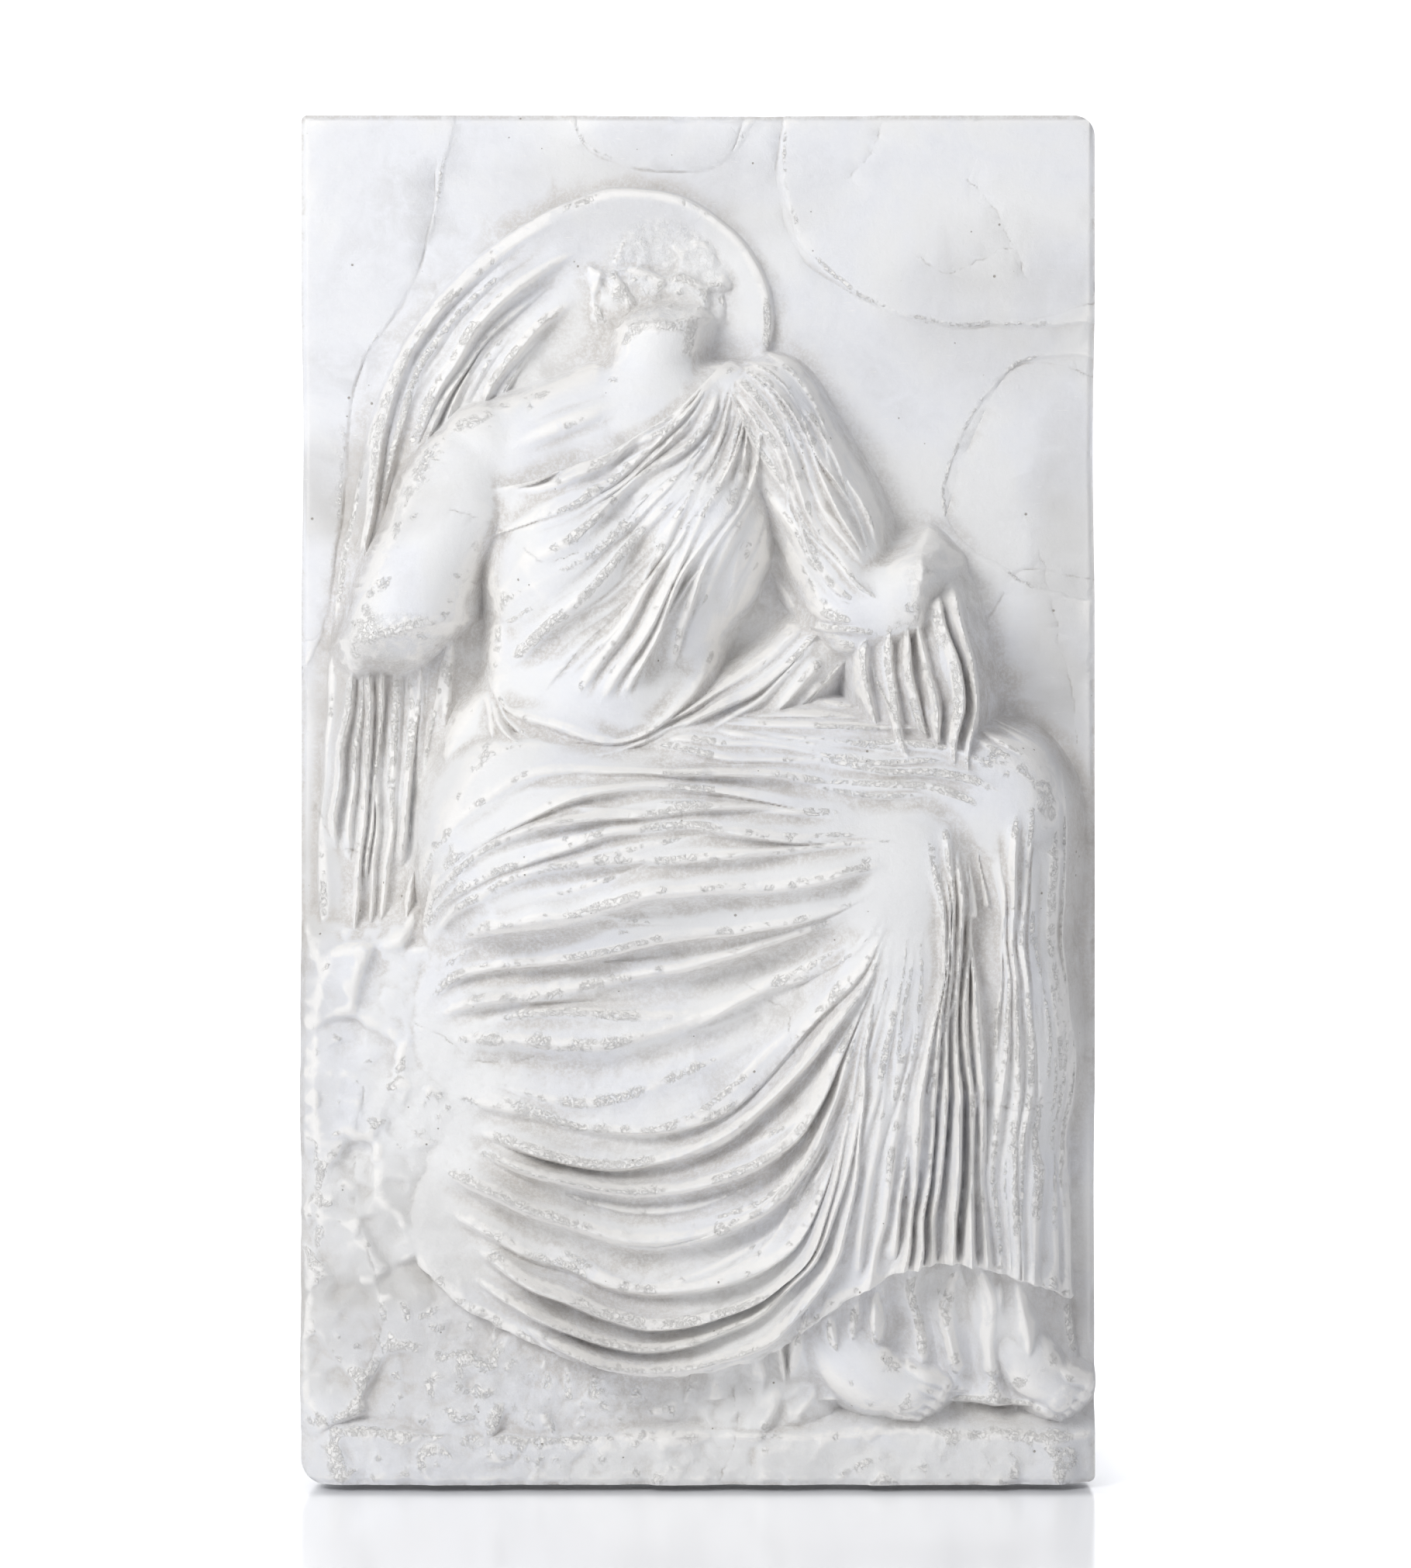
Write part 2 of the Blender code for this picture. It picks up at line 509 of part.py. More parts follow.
def draped_legs(carver):
    """Mantle over thighs and shins with deep swags, and the hem of the tunic below it."""
    grid = carver.grid
    near, far = legs(carver)
    cloth = smooth_max(smooth_max(near, far, 0.016), curtain(carver), 0.060)
    crowns = carver.crowns(cloth)
    swags = carver.folds(
        THIGH_TO_HEM, 17, 0.028, seed=5, sharp=2.3, lean=0.45, rise=0.16, fall=0.12, stagger=0.14, vary=0.5,
        sway=0.006, narrow=0.014,
    )
    swags = swags * (1 - ease(grid.x, 0.17, 0.19)) * (0.3 + 0.7 * ease(grid.x, -0.235, -0.155))
    shin = carver.folds((
        ((0.140, 0.400), (0.118, 0.28), (0.090, 0.16), (0.066, 0.03)),
        ((0.164, 0.395), (0.148, 0.28), (0.122, 0.16), (0.100, 0.03)),
        ((0.186, 0.395), (0.184, 0.28), (0.162, 0.16), (0.146, 0.03)),
    ), 7, 0.015, seed=15, sharp=1.6, lean=0.3, fall=0.06, stagger=0.25, vary=0.45, merge=0.5)
    shin = shin * (1 - ease(carver.side_of(THIGH_TO_HEM[-1][::-1]), -0.012, 0.012))
    between = carver.folds((
        ((0.176, 0.455), (0.188, 0.34), (0.172, 0.20), (0.146, 0.01)),
        ((0.194, 0.470), (0.202, 0.34), (0.196, 0.20), (0.190, 0.01)),
        ((0.208, 0.470), (0.214, 0.34), (0.220, 0.20), (0.232, 0.01)),
    ), 6, 0.034, seed=16, sharp=1.0, lean=0.2, rise=0.10, fall=0.03, stagger=0.12, vary=0.35, merge=0.2,
        narrow=0.012)
    beyond = carver.folds((
        ((0.232, 0.52), (0.236, 0.34), (0.236, 0.20), (0.236, 0.01)),
        ((0.284, 0.52), (0.286, 0.34), (0.288, 0.20), (0.296, 0.01)),
    ), 6, 0.022, seed=18, sharp=1.4, lean=0.3, rise=0.10, fall=0.04, stagger=0.15)
    flutes = carver.folds((
        ((-0.205, 0.22), (-0.205, 0.10), (-0.220, -0.01)),
        ((-0.060, 0.16), (-0.066, 0.08), (-0.075, -0.01)),
        ((0.075, 0.16), (0.074, 0.08), (0.076, -0.01)),
        ((0.250, 0.16), (0.252, 0.08), (0.258, -0.01)),
    ), 23, 0.020, seed=17, sharp=1.2, lean=0.0, rise=0.02, fall=0.02, vary=0.35, fill=0.80, merge=0.3,
        narrow=0.012)
    mantle = np.maximum(np.maximum(swags, shin), np.maximum(between, beyond)) * (1 - 0.70 * crowns)
    to_hem = carver.side_of(MANTLE_HEM)
    mantle = cloth + 0.003 + 0.006 * (1 - ease(to_hem, 0.004, 0.030)) + mantle
    tunic = cloth - 0.011 + flutes * (1 - 0.5 * crowns)
    above = ease(to_hem, -0.0008, 0.0015)
    out = tunic * (1 - above) + mantle * above
    laps = carver.folds((
        ((0.282, 0.505), (0.215, 0.545), (0.12, 0.556), (0.05, 0.566), (-0.02, 0.568)),
        ((0.272, 0.478), (0.200, 0.510), (0.12, 0.512), (0.03, 0.524), (-0.05, 0.532)),
        ((0.240, 0.452), (0.180, 0.474), (0.10, 0.482), (0.00, 0.498), (-0.09, 0.510)),
    ), 10, 0.015, seed=31, rise=0.12, fall=0.1, stagger=0.2, merge=0.5)
    lap = far + 0.003 + laps * (1 - 0.45 * carver.crowns(far))
    out = smooth_max(out, lap, 0.003)
    return out - 4.0 * np.clip(LEDGE_HEIGHT - 0.012 - grid.z, 0, None)


def hip_roll(carver):
    """The mantle's thick rolled edge round the hips."""
    roll = carver.limb((
        (-0.206, 0.512, -0.10, 0.018), (-0.176, 0.500, 0.30, 0.024), (-0.128, 0.494, 0.52, 0.028),
        (-0.050, 0.500, 0.56, 0.029), (0.042, 0.538, 0.42, 0.026), (0.112, 0.606, 0.22, 0.024),
    ), flat=0.55, wall=2.0)
    ridges = carver.folds((
        ((-0.190, 0.538), (-0.150, 0.524), (-0.060, 0.524), (0.030, 0.562), (0.095, 0.625)),
        ((-0.196, 0.484), (-0.140, 0.466), (-0.040, 0.470), (0.055, 0.512), (0.130, 0.585)),
    ), 6, 0.013, seed=3, sharp=1.3, lean=0.3, rise=0.20, fall=0.04, vary=0.35, merge=0.5)
    return roll + ridges


def near_arm(carver):
    """Bare upper arm, broken off above the elbow."""
    arm = carver.limb((
        (-0.168, 0.740, 0.22, 0.040), (-0.189, 0.712, 0.30, 0.045), (-0.208, 0.672, 0.35, 0.039),
        (-0.223, 0.634, 0.40, 0.040), (-0.238, 0.590, 0.45, 0.036), (-0.252, 0.545, 0.48, 0.032),
    ))
    above_break = carver.side_of(((-0.34, 0.585), (-0.14, 0.622)))
    return arm - 2.2 * np.clip(-above_break - 0.006 * carver.grid.rough(0.030, 4, 77), 0, None)


def far_arm(carver):
    """Covered arm held out to a broken stump, in folds that sag from shoulder to elbow."""
    arm = join([
        carver.limb(((0.056, 0.774, 0.20, 0.043), (0.098, 0.698, 0.24, 0.040), (0.130, 0.624, 0.32, 0.036))),
        carver.limb(((0.130, 0.622, 0.34, 0.036), (0.158, 0.628, 0.48, 0.031), (0.194, 0.644, 0.58, 0.027))),
    ], 0.014)
    past_break = -carver.side_of(((0.180, 0.580), (0.176, 0.640), (0.190, 0.700)))
    arm = arm - 2.0 * np.clip(past_break - 0.005 * carver.grid.rough(0.026, 3, 79), 0, None)
    sleeve = carver.folds((
        ((0.006, 0.838), (0.056, 0.822), (0.096, 0.776), (0.126, 0.706), (0.150, 0.652)),
        ((0.010, 0.822), (0.046, 0.782), (0.078, 0.736), (0.108, 0.680), (0.148, 0.634)),
        ((0.010, 0.806), (0.032, 0.745), (0.056, 0.688), (0.096, 0.632), (0.148, 0.610)),
        ((0.006, 0.790), (0.014, 0.700), (0.034, 0.625), (0.080, 0.580), (0.150, 0.588)),
    ), 14, 0.018, seed=19, lean=0.4, rise=0.08, fall=0.12, sway=0.005)
    return arm + 0.003 + sleeve * (1 - 0.4 * carver.crowns(arm))


def cascade(carver):
    """End of the mantle that falls from the far arm on to the lap."""
    grid = carver.grid
    edge = carver.inside((
        (0.122, 0.640), (0.165, 0.655), (0.206, 0.640), (0.222, 0.560), (0.214, 0.47), (0.228, 0.390),
        (0.196, 0.372), (0.166, 0.385), (0.160, 0.46), (0.132, 0.54),
    ))
    folds = carver.folds((
        ((0.130, 0.640), (0.138, 0.55), (0.164, 0.47), (0.172, 0.37)),
        ((0.166, 0.650), (0.178, 0.55), (0.188, 0.47), (0.198, 0.36)),
        ((0.202, 0.640), (0.216, 0.55), (0.212, 0.47), (0.224, 0.37)),
    ), 6, 0.026, seed=21, sharp=1.0, lean=0.45, rise=0.04, fall=0.04, stagger=0.05, vary=0.35, merge=0.0)
    body = np.interp(grid.z, (0.40, 0.48, 0.56, 0.66), (0.060, 0.064, 0.060, 0.050))
    return np.where(edge > -0.02, body + folds - 2.5 * np.clip(0.004 - edge, 0, None), -1)


def ground(carver):
    """Rough strip of ground that the figure's feet stand on."""
    grid = carver.grid
    top = LEDGE_HEIGHT + 0.006 * grid.rough(0.060, 3, 5)
    stone = soften(grid.facets(0.040, 52, 0.14, 0.003), 0.0026 / grid.step)
    end = 0.45 + 0.55 * ease(SLAB_WIDTH / 2 - np.abs(grid.flat_x), 0, LEDGE_END)
    return (LEDGE_DEPTH + stone) * end * np.clip((top - grid.z) / LEDGE_SLOPE, 0, 1)


def relief(carver):
    """Whole relief: height in front of the slab's face."""
    out = np.maximum(veil(carver), rock(carver))
    out = np.maximum(out, head_scar(carver))
    out = np.maximum(out, draped_legs(carver))
    out = np.maximum(out, dressed_trunk(carver))
    out = smooth_max(out, hip_roll(carver), 0.003)
    out = smooth_max(out, near_arm(carver), 0.003)
    out = np.maximum(out, feet(carver))
    out = np.maximum(out, cascade(carver))
    out = smooth_max(out, far_arm(carver), 0.003)
    out = np.maximum(out, ground(carver))
    return out - (1 - FLAT_KEEP) * np.clip(out - FLAT_FROM, 0, None)


def corner_radii():
    """Each corner's place (signs across and up) and the radius it is worn to."""
    return (
        (-1, 0, CORNER_LOW_LEFT), (1, 1, CORNER_TOP_RIGHT), (-1, 1, CORNER_OTHER), (1, 0, CORNER_OTHER),
    )


def slab_outline(x, z):
    """Flat grid coordinates moved to the slab's worn outline."""
    half = SLAB_WIDTH / 2
    wave = EDGE_WAVE * (np.sin(9.0 * z + 0.7) + 0.6 * np.sin(23.0 * z + 2.0))
    x_new = x * (1 - np.clip(wave, 0, None) / half)
    z_new = z * (1 - EDGE_WAVE * np.clip(np.sin(11.0 * x + 1.2), 0, None) / SLAB_HEIGHT)
    for side, up, radius in corner_radii():
        across = np.clip(radius - half + side * x, 0, None)
        along = np.clip(radius - ((SLAB_HEIGHT - z) if up else z), 0, None)
        back = np.clip(1 - radius / np.maximum(np.hypot(across, along), 1e-9), 0, None)
        x_new = x_new - side * back * across
        z_new = z_new + (-1 if up else 1) * back * along
    return x_new, z_new


def front_heights(grid):
    """Height over the slab's face, with the front arris worn round."""
    carver = Carver(grid)
    height = np.maximum(relief(carver), 0)
    border = np.minimum(
        np.minimum(grid.flat_x + SLAB_WIDTH / 2, SLAB_WIDTH / 2 - grid.flat_x),
        np.minimum(grid.flat_z, SLAB_HEIGHT - grid.flat_z),
    )
    return height - RIM_ROUNDING * (1 - ease(border, -1e-6, 2.2 * RIM_ROUNDING))


def carved_front(grid):
    """Grid mesh moved out to the relief and thinned to the number of faces allowed."""
    columns, rows = len(grid.xs), len(grid.zs)
    mesh = bpy.data.meshes.new("relief_front")
    bm = bmesh.new()
    bmesh.ops.create_grid(bm, x_segments=columns - 1, y_segments=rows - 1, size=0.5)
    height = front_heights(grid)
    x_new, z_new = slab_outline(grid.flat_x, grid.flat_z)
    for vert in bm.verts:
        column = int(round((vert.co.x + 0.5) * (columns - 1)))
        row = int(round((vert.co.y + 0.5) * (rows - 1)))
        vert.co = (x_new[row, column], -SLAB_THICKNESS - height[row, column], z_new[row, column])
    bmesh.ops.recalc_face_normals(bm, faces=bm.faces)
    bm.to_mesh(mesh)
    triangles = 2 * len(bm.faces)
    bm.free()
    front = bpy.data.objects.new("relief_front", mesh)
    bpy.context.scene.collection.objects.link(front)
    thin = front.modifiers.new("thin", "DECIMATE")
    thin.ratio = FRONT_TRIANGLES / triangles
    thin.use_collapse_triangulate = True
    return front


def closed_slab(front):
    """The thinned front with sides drawn back to a flat back."""
    shape = front.evaluated_get(bpy.context.evaluated_depsgraph_get()).to_mesh()
    bm = bmesh.new()
    bm.from_mesh(shape)
    for vert in bm.verts:
        vert.co.x = min(max(vert.co.x, -SLAB_WIDTH / 2), SLAB_WIDTH / 2)
        vert.co.z = min(vert.co.z, SLAB_HEIGHT) if vert.co.z > SNAP else 0.0
    rim = [edge for edge in bm.edges if edge.is_boundary]
    for ring in range(SIDE_RINGS):
        drawn = bmesh.ops.extrude_edge_only(bm, edges=rim)["geom"]
        verts = [item for item in drawn if isinstance(item, bmesh.types.BMVert)]
        share = (ring + 1) / SIDE_RINGS
        for vert in verts:
            vert.co.y = -SLAB_THICKNESS * (1 - share) if share < 1 else 0.0
        rim = [item for item in drawn if isinstance(item, bmesh.types.BMEdge) and item.is_boundary]
    bmesh.ops.contextual_create(bm, geom=rim)
    bmesh.ops.triangulate(bm, faces=[face for face in bm.faces if len(face.verts) > 3])
    bmesh.ops.recalc_face_normals(bm, faces=bm.faces)
    for vert in bm.verts:
        vert.co.z -= SLAB_HEIGHT / 2
    mesh = bpy.data.meshes.new("relief_plaque")
    bm.to_mesh(mesh)
    bm.free()
    front.evaluated_get(bpy.context.evaluated_depsgraph_get()).to_mesh_clear()
    return mesh


def plaster_material():
    """Plain matte plaster."""
    material = bpy.data.materials.new("plaster")
    material.use_nodes = True
    shader = material.node_tree.nodes["Principled BSDF"]
    shader.inputs["Base Color"].default_value = PLASTER
    shader.inputs["Roughness"].default_value = 0.75
    return material


def clear_scene():
    """Start from an empty scene."""
    for obj in list(bpy.data.objects):
        bpy.data.objects.remove(obj)


def main():
    """Build the plaque in a collection of its own."""
    clear_scene()
    collection = bpy.data.collections.new("relief_plaque")
    bpy.context.scene.collection.children.link(collection)
    front = carved_front(Grid(CARVE_STEP))
    bpy.context.view_layer.update()
    mesh = closed_slab(front)
    bpy.data.objects.remove(front)
    mesh.materials.append(plaster_material())
    plaque = bpy.data.objects.new("relief_plaque", mesh)
    collection.objects.link(plaque)


main()
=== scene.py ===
"""Plaster relief plaque with a worn, headless, draped figure seated on rock, in a white studio.

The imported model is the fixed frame. One visual piece stands for its solid: the same relief,
worked out again on a finer grid, with the thinner folds, joints, cracks, chips and worn
crests that the solid leaves out, in aged gypsum plaster.
"""
import logging
from collections.abc import Sequence
from dataclasses import dataclass, field, replace
from enum import Enum

import bmesh
import bpy
import numpy as np
from mathutils import Matrix, Vector


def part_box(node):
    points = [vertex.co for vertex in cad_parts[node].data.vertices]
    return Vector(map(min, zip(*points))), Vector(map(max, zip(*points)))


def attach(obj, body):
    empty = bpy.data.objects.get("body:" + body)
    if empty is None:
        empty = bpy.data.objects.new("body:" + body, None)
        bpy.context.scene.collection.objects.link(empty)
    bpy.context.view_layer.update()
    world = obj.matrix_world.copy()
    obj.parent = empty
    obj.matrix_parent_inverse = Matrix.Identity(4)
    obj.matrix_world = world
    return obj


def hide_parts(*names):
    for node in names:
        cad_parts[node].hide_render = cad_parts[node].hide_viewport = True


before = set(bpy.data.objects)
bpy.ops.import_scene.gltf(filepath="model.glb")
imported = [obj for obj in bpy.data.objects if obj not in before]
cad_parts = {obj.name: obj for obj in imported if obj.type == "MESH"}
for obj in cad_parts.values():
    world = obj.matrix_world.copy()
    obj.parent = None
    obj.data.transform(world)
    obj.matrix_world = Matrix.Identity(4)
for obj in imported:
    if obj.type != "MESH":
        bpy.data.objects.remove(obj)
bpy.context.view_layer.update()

log = logging.getLogger("relief_plaque")
Field = np.ndarray
Guides = Sequence[Sequence[tuple[float, float]]]
Socket = bpy.types.NodeSocket
Rows = tuple[tuple, ...]
MM_PER_METRE = 1000.0
# Grid step of the finished relief, in metres
FINE_STEP = 0.0010


@dataclass(frozen=True)
class SlabSize:
    """Outline of the cast, in metres."""

    width: float = 0.617
    height: float = 1.060
    thickness: float = 0.050
    corner_low_left: float = 0.018
    corner_top_right: float = 0.017
    corner_other: float = 0.005
    rim_rounding: float = 0.0025
    edge_wave: float = 0.0009


@dataclass(frozen=True)
class ReliefSize:
    """How the figure's own drawing and modelling depth turn into metres."""

    ledge_height: float = 0.062
    ledge_depth: float = 0.036
    ledge_slope: float = 0.024
    ledge_end: float = 0.034
    unit: float = 1.060 * 0.9292
    depth: float = 0.108
    flat_from: float = 0.084
    flat_keep: float = 0.62
    wall: float = 3.0


SLAB = SlabSize()
RELIEF = ReliefSize()


def ease(value: Field | float, start: float, end: float) -> Field:
    """Smooth step.

    Args:
        value: What is tested.
        start: Where the step leaves 0.
        end: Where the step reaches 1.

    Returns:
        A field from 0 to 1.
    """
    share = np.clip((value - start) / (end - start), 0, 1)
    return share * share * (3 - 2 * share)


def smooth_max(a: Field, b: Field, width: float) -> Field:
    """The larger height with the crease rounded.

    Args:
        a: One height field.
        b: The other height field.
        width: How wide the rounding is, in metres.

    Returns:
        The joined height field.
    """
    near = np.maximum(width - np.abs(a - b), 0)
    return np.maximum(a, b) + near * near / (4 * width)


def join(fields: Sequence[Field], width: float) -> Field:
    """Several forms run together.

    Args:
        fields: Height fields, in any order of size.
        width: How wide each crease's rounding is.

    Returns:
        The joined height field.
    """
    out = fields[0]
    for height in fields[1:]:
        out = smooth_max(out, height, width)
    return out


def spline_point(a: Field, b: Field, c: Field, d: Field, f: Field | float) -> Field:
    """Catmull-Rom curve.

    Args:
        a: Point before the stretch.
        b: Start of the stretch.
        c: End of the stretch.
        d: Point after the stretch.
        f: Share of the way from b to c.

    Returns:
        The point on the curve.
    """
    return 0.5 * (2 * b + (c - a) * f + (2 * a - 5 * b + 4 * c - d) * f**2 + (3 * b - a - 3 * c + d) * f**3)


def curve(points: Sequence, samples: int = 48) -> Field:
    """Smooth line through the points; further columns such as a radius ride along.

    Args:
        points: Rows of x, z and any further values.
        samples: How many rows the line gets.

    Returns:
        The line's rows.
    """
    p = np.asarray(points, float)
    if len(p) == 2:
        share = np.linspace(0, 1, samples)[:, None]
        return p[0] * (1 - share) + p[1] * share
    padded = np.vstack([2 * p[0] - p[1], p, 2 * p[-1] - p[-2]])
    chord = np.linalg.norm(np.diff(p[:, :2], axis=0), axis=1)
    stops = np.concatenate([[0], np.cumsum(chord)]) / chord.sum()
    share = np.linspace(0, 1, samples)
    k = np.clip(np.searchsorted(stops, share, side="right") - 1, 0, len(p) - 2)
    f = ((share - stops[k]) / (stops[k + 1] - stops[k]))[:, None]
    return spline_point(padded[k], padded[k + 1], padded[k + 2], padded[k + 3], f)


def closed_curve(points: Sequence, per_point: int = 14) -> Field:
    """Smooth closed outline.

    Args:
        points: Rows of x and z in order round the outline.
        per_point: Rows for each stretch between two points.

    Returns:
        The outline's rows, with the first repeated at the end.
    """
    p = np.asarray(points, float)
    count = len(p)
    rows = [
        spline_point(p[k - 1], p[k], p[(k + 1) % count], p[(k + 2) % count], f)
        for k in range(count)
        for f in np.arange(per_point) / per_point
    ]
    return np.array(rows + [rows[0]])


def arc_shares(line: Field) -> Field:
    """Share of the whole length at each row of a line."""
    run = np.concatenate([[0], np.cumsum(np.linalg.norm(np.diff(line[:, :2], axis=0), axis=1))])
    return run / run[-1]


def soften(height: Field, cells: float) -> Field:
    """Three box blurs each way, close to a Gaussian.

    Args:
        height: The field to blur.
        cells: Reach of each box in grid cells.

    Returns:
        The blurred field.
    """
    reach = max(1, int(round(cells)))
    out = height
    for _ in range(3):
        for axis in (0, 1):
            pad = [(0, 0), (0, 0)]
            pad[axis] = (reach + 1, reach)
            total = np.cumsum(np.pad(out, pad, mode="edge"), axis=axis)
            lead = [slice(None)] * 2
            lag = [slice(None)] * 2
            lead[axis] = slice(2 * reach + 1, None)
            lag[axis] = slice(None, -(2 * reach + 1))
            out = (total[tuple(lead)] - total[tuple(lag)]) / (2 * reach + 1)
    return out


@dataclass
class Grid:
    """Regular rows and columns over the slab, and the carving coordinates at each crossing."""

    step: float
    xs: Field = field(init=False)
    zs: Field = field(init=False)
    x: Field = field(init=False)
    z: Field = field(init=False)
    flat_x: Field = field(init=False)
    flat_z: Field = field(init=False)

    def __post_init__(self) -> None:
        """Lay out the crossings and bend them a little, because a hand-cut line never runs true."""
        self.xs = np.linspace(-SLAB.width / 2, SLAB.width / 2, int(round(SLAB.width / self.step)) + 1)
        self.zs = np.linspace(0, SLAB.height, int(round(SLAB.height / self.step)) + 1)
        self.step = self.xs[1] - self.xs[0]
        self.flat_x, self.flat_z = np.meshgrid(self.xs, self.zs)
        self.x = self.flat_x + 0.0045 * self.noise(0.085, 301) + 0.0016 * self.noise(0.030, 302)
        self.z = self.flat_z + 0.0045 * self.noise(0.085, 303) + 0.0016 * self.noise(0.030, 304)

    def window(self, low: Sequence[float], high: Sequence[float]) -> tuple[slice, slice]:
        """Rows and columns between two corners.

        Args:
            low: Least x and z.
            high: Greatest x and z.

        Returns:
            The slices of rows and of columns.
        """
        c0 = max(0, int(np.searchsorted(self.xs, low[0])))
        c1 = min(len(self.xs), int(np.searchsorted(self.xs, high[0])) + 1)
        r0 = max(0, int(np.searchsorted(self.zs, low[1])))
        r1 = min(len(self.zs), int(np.searchsorted(self.zs, high[1])) + 1)
        return slice(r0, max(r0, r1)), slice(c0, max(c0, c1))

    def noise(self, size: float, seed: int, stretch: float = 1.0) -> Field:
        """Smooth random field from -1 to 1.

        Args:
            size: Size of its lumps in metres.
            seed: Which random field.
            stretch: How many times taller than wide the lumps are.

        Returns:
            The field on the grid.
        """
        rng = np.random.default_rng(seed)
        fx = (self.xs - self.xs[0]) / size
        fz = (self.zs - self.zs[0]) / (size * stretch)
        values = rng.uniform(-1, 1, (int(fz[-1]) + 4, int(fx[-1]) + 4))
        ix, iz = fx.astype(int), fz.astype(int)
        tx, tz = ease(fx - ix, 0, 1), ease(fz - iz, 0, 1)[:, None]
        low = values[np.ix_(iz, ix)] * (1 - tx) + values[np.ix_(iz, ix + 1)] * tx
        top = values[np.ix_(iz + 1, ix)] * (1 - tx) + values[np.ix_(iz + 1, ix + 1)] * tx
        return low * (1 - tz) + top * tz

    def rough(self, size: float, octaves: int, seed: int, gain: float = 0.55) -> Field:
        """Several noises, each finer and weaker than the last.

        Args:
            size: Size of the largest lumps in metres.
            octaves: How many noises.
            seed: Which random field.
            gain: Strength of each noise beside the one before.

        Returns:
            The field on the grid, from -1 to 1.
        """
        parts = [gain**k * self.noise(size / 2**k, seed + 17 * k) for k in range(octaves)]
        return sum(parts) / sum(gain**k for k in range(octaves))

    def facets(self, size: float, seed: int, tilt: float, offset: float) -> Field:
        """Broken stone: cells that each lie on a plane of their own tilt.

        Args:
            size: Width of a cell in metres.
            seed: Which random cells.
            tilt: Greatest slope of a cell.
            offset: Greatest step between a cell and the mean, in metres.

        Returns:
            The height field of the cells.
        """
        rng = np.random.default_rng(seed)
        columns = int(SLAB.width / size) + 3
        rows = int(SLAB.height / size) + 3
        px = self.xs[0] + (np.arange(columns)[None, :] - 1 + rng.uniform(0, 1, (rows, columns))) * size
        pz = self.zs[0] + (np.arange(rows)[:, None] - 1 + rng.uniform(0, 1, (rows, columns))) * size
        slopes = rng.uniform(-tilt, tilt, (px.size, 2))
        levels = rng.uniform(-offset, offset, px.size)
        best = np.full(self.x.shape, np.inf)
        out = np.zeros(self.x.shape)
        for k, (cx, cz) in enumerate(zip(px.ravel(), pz.ravel())):
            win = self.window((cx - 2.2 * size, cz - 2.2 * size), (cx + 2.2 * size, cz + 2.2 * size))
            dx, dz = self.x[win] - cx, self.z[win] - cz
            distance = dx * dx + dz * dz
            near = distance < best[win]
            best[win] = np.where(near, distance, best[win])
            out[win] = np.where(near, levels[k] + slopes[k, 0] * dx + slopes[k, 1] * dz, out[win])
        return out

    def nearest(self, line: Field, reach: float) -> tuple[tuple[slice, slice], Field, Field, Field]:
        """Nearest point of a line to each crossing.

        Args:
            line: Rows of x and z.
            reach: How far from the line the search goes, in metres.

        Returns:
            The window searched, the distance, the side (+1 left of travel) and the share of length.
        """
        xy = line[:, :2]
        win = self.window(xy.min(0) - reach, xy.max(0) + reach)
        r0, c0 = win[0].start, win[1].start
        x, z = self.x[win], self.z[win]
        best = np.full(x.shape, np.inf)
        side = np.zeros(x.shape)
        place = np.zeros(x.shape)
        shares = arc_shares(xy)
        for k in range(len(xy) - 1):
            a, b = xy[k], xy[k + 1]
            part = self.window(np.minimum(a, b) - reach, np.maximum(a, b) + reach)
            sub = (
                slice(part[0].start - r0, part[0].stop - r0),
                slice(part[1].start - c0, part[1].stop - c0),
            )
            px, pz = x[sub] - a[0], z[sub] - a[1]
            dx, dz = b - a
            f = np.clip((px * dx + pz * dz) / max(dx * dx + dz * dz, 1e-12), 0, 1)
            distance = (px - f * dx) ** 2 + (pz - f * dz) ** 2
            near = distance < best[sub]
            best[sub] = np.where(near, distance, best[sub])
            side[sub] = np.where(near, np.sign(dx * pz - dz * px), side[sub])
            place[sub] = np.where(near, shares[k] + f * (shares[k + 1] - shares[k]), place[sub])
        return win, np.sqrt(best), side, place

    def sample(self, values: Field, x: Field, z: Field) -> Field:
        """Values of a field between the crossings.

        Args:
            values: A field on the grid.
            x: Places across the slab.
            z: Places up the slab.

        Returns:
            The field's value at each place.
        """
        fx = np.clip((x - self.xs[0]) / (self.xs[1] - self.xs[0]), 0, len(self.xs) - 1.001)
        fz = np.clip((z - self.zs[0]) / (self.zs[1] - self.zs[0]), 0, len(self.zs) - 1.001)
        ix, iz = fx.astype(int), fz.astype(int)
        tx, tz = fx - ix, fz - iz
        low = values[iz, ix] * (1 - tx) + values[iz, ix + 1] * tx
        top = values[iz + 1, ix] * (1 - tx) + values[iz + 1, ix + 1] * tx
        return low * (1 - tz) + top * tz


def ridge(share: Field, sharp: float, blunt: float = 0.09) -> Field:
    """Cross-section of a fold: a narrow crest between scooped flanks.

    Args:
        share: Distance from the crest as a share of the flank.
        sharp: How thin the ridge is.
        blunt: How far the very crest is worn round, as a share of the flank.

    Returns:
        1 on the crest and 0 at the foot.
    """
    run = (np.sqrt(share**2 + blunt**2) - blunt) / (np.sqrt(1 + blunt**2) - blunt)
    return (1 - run) ** (1 + sharp)


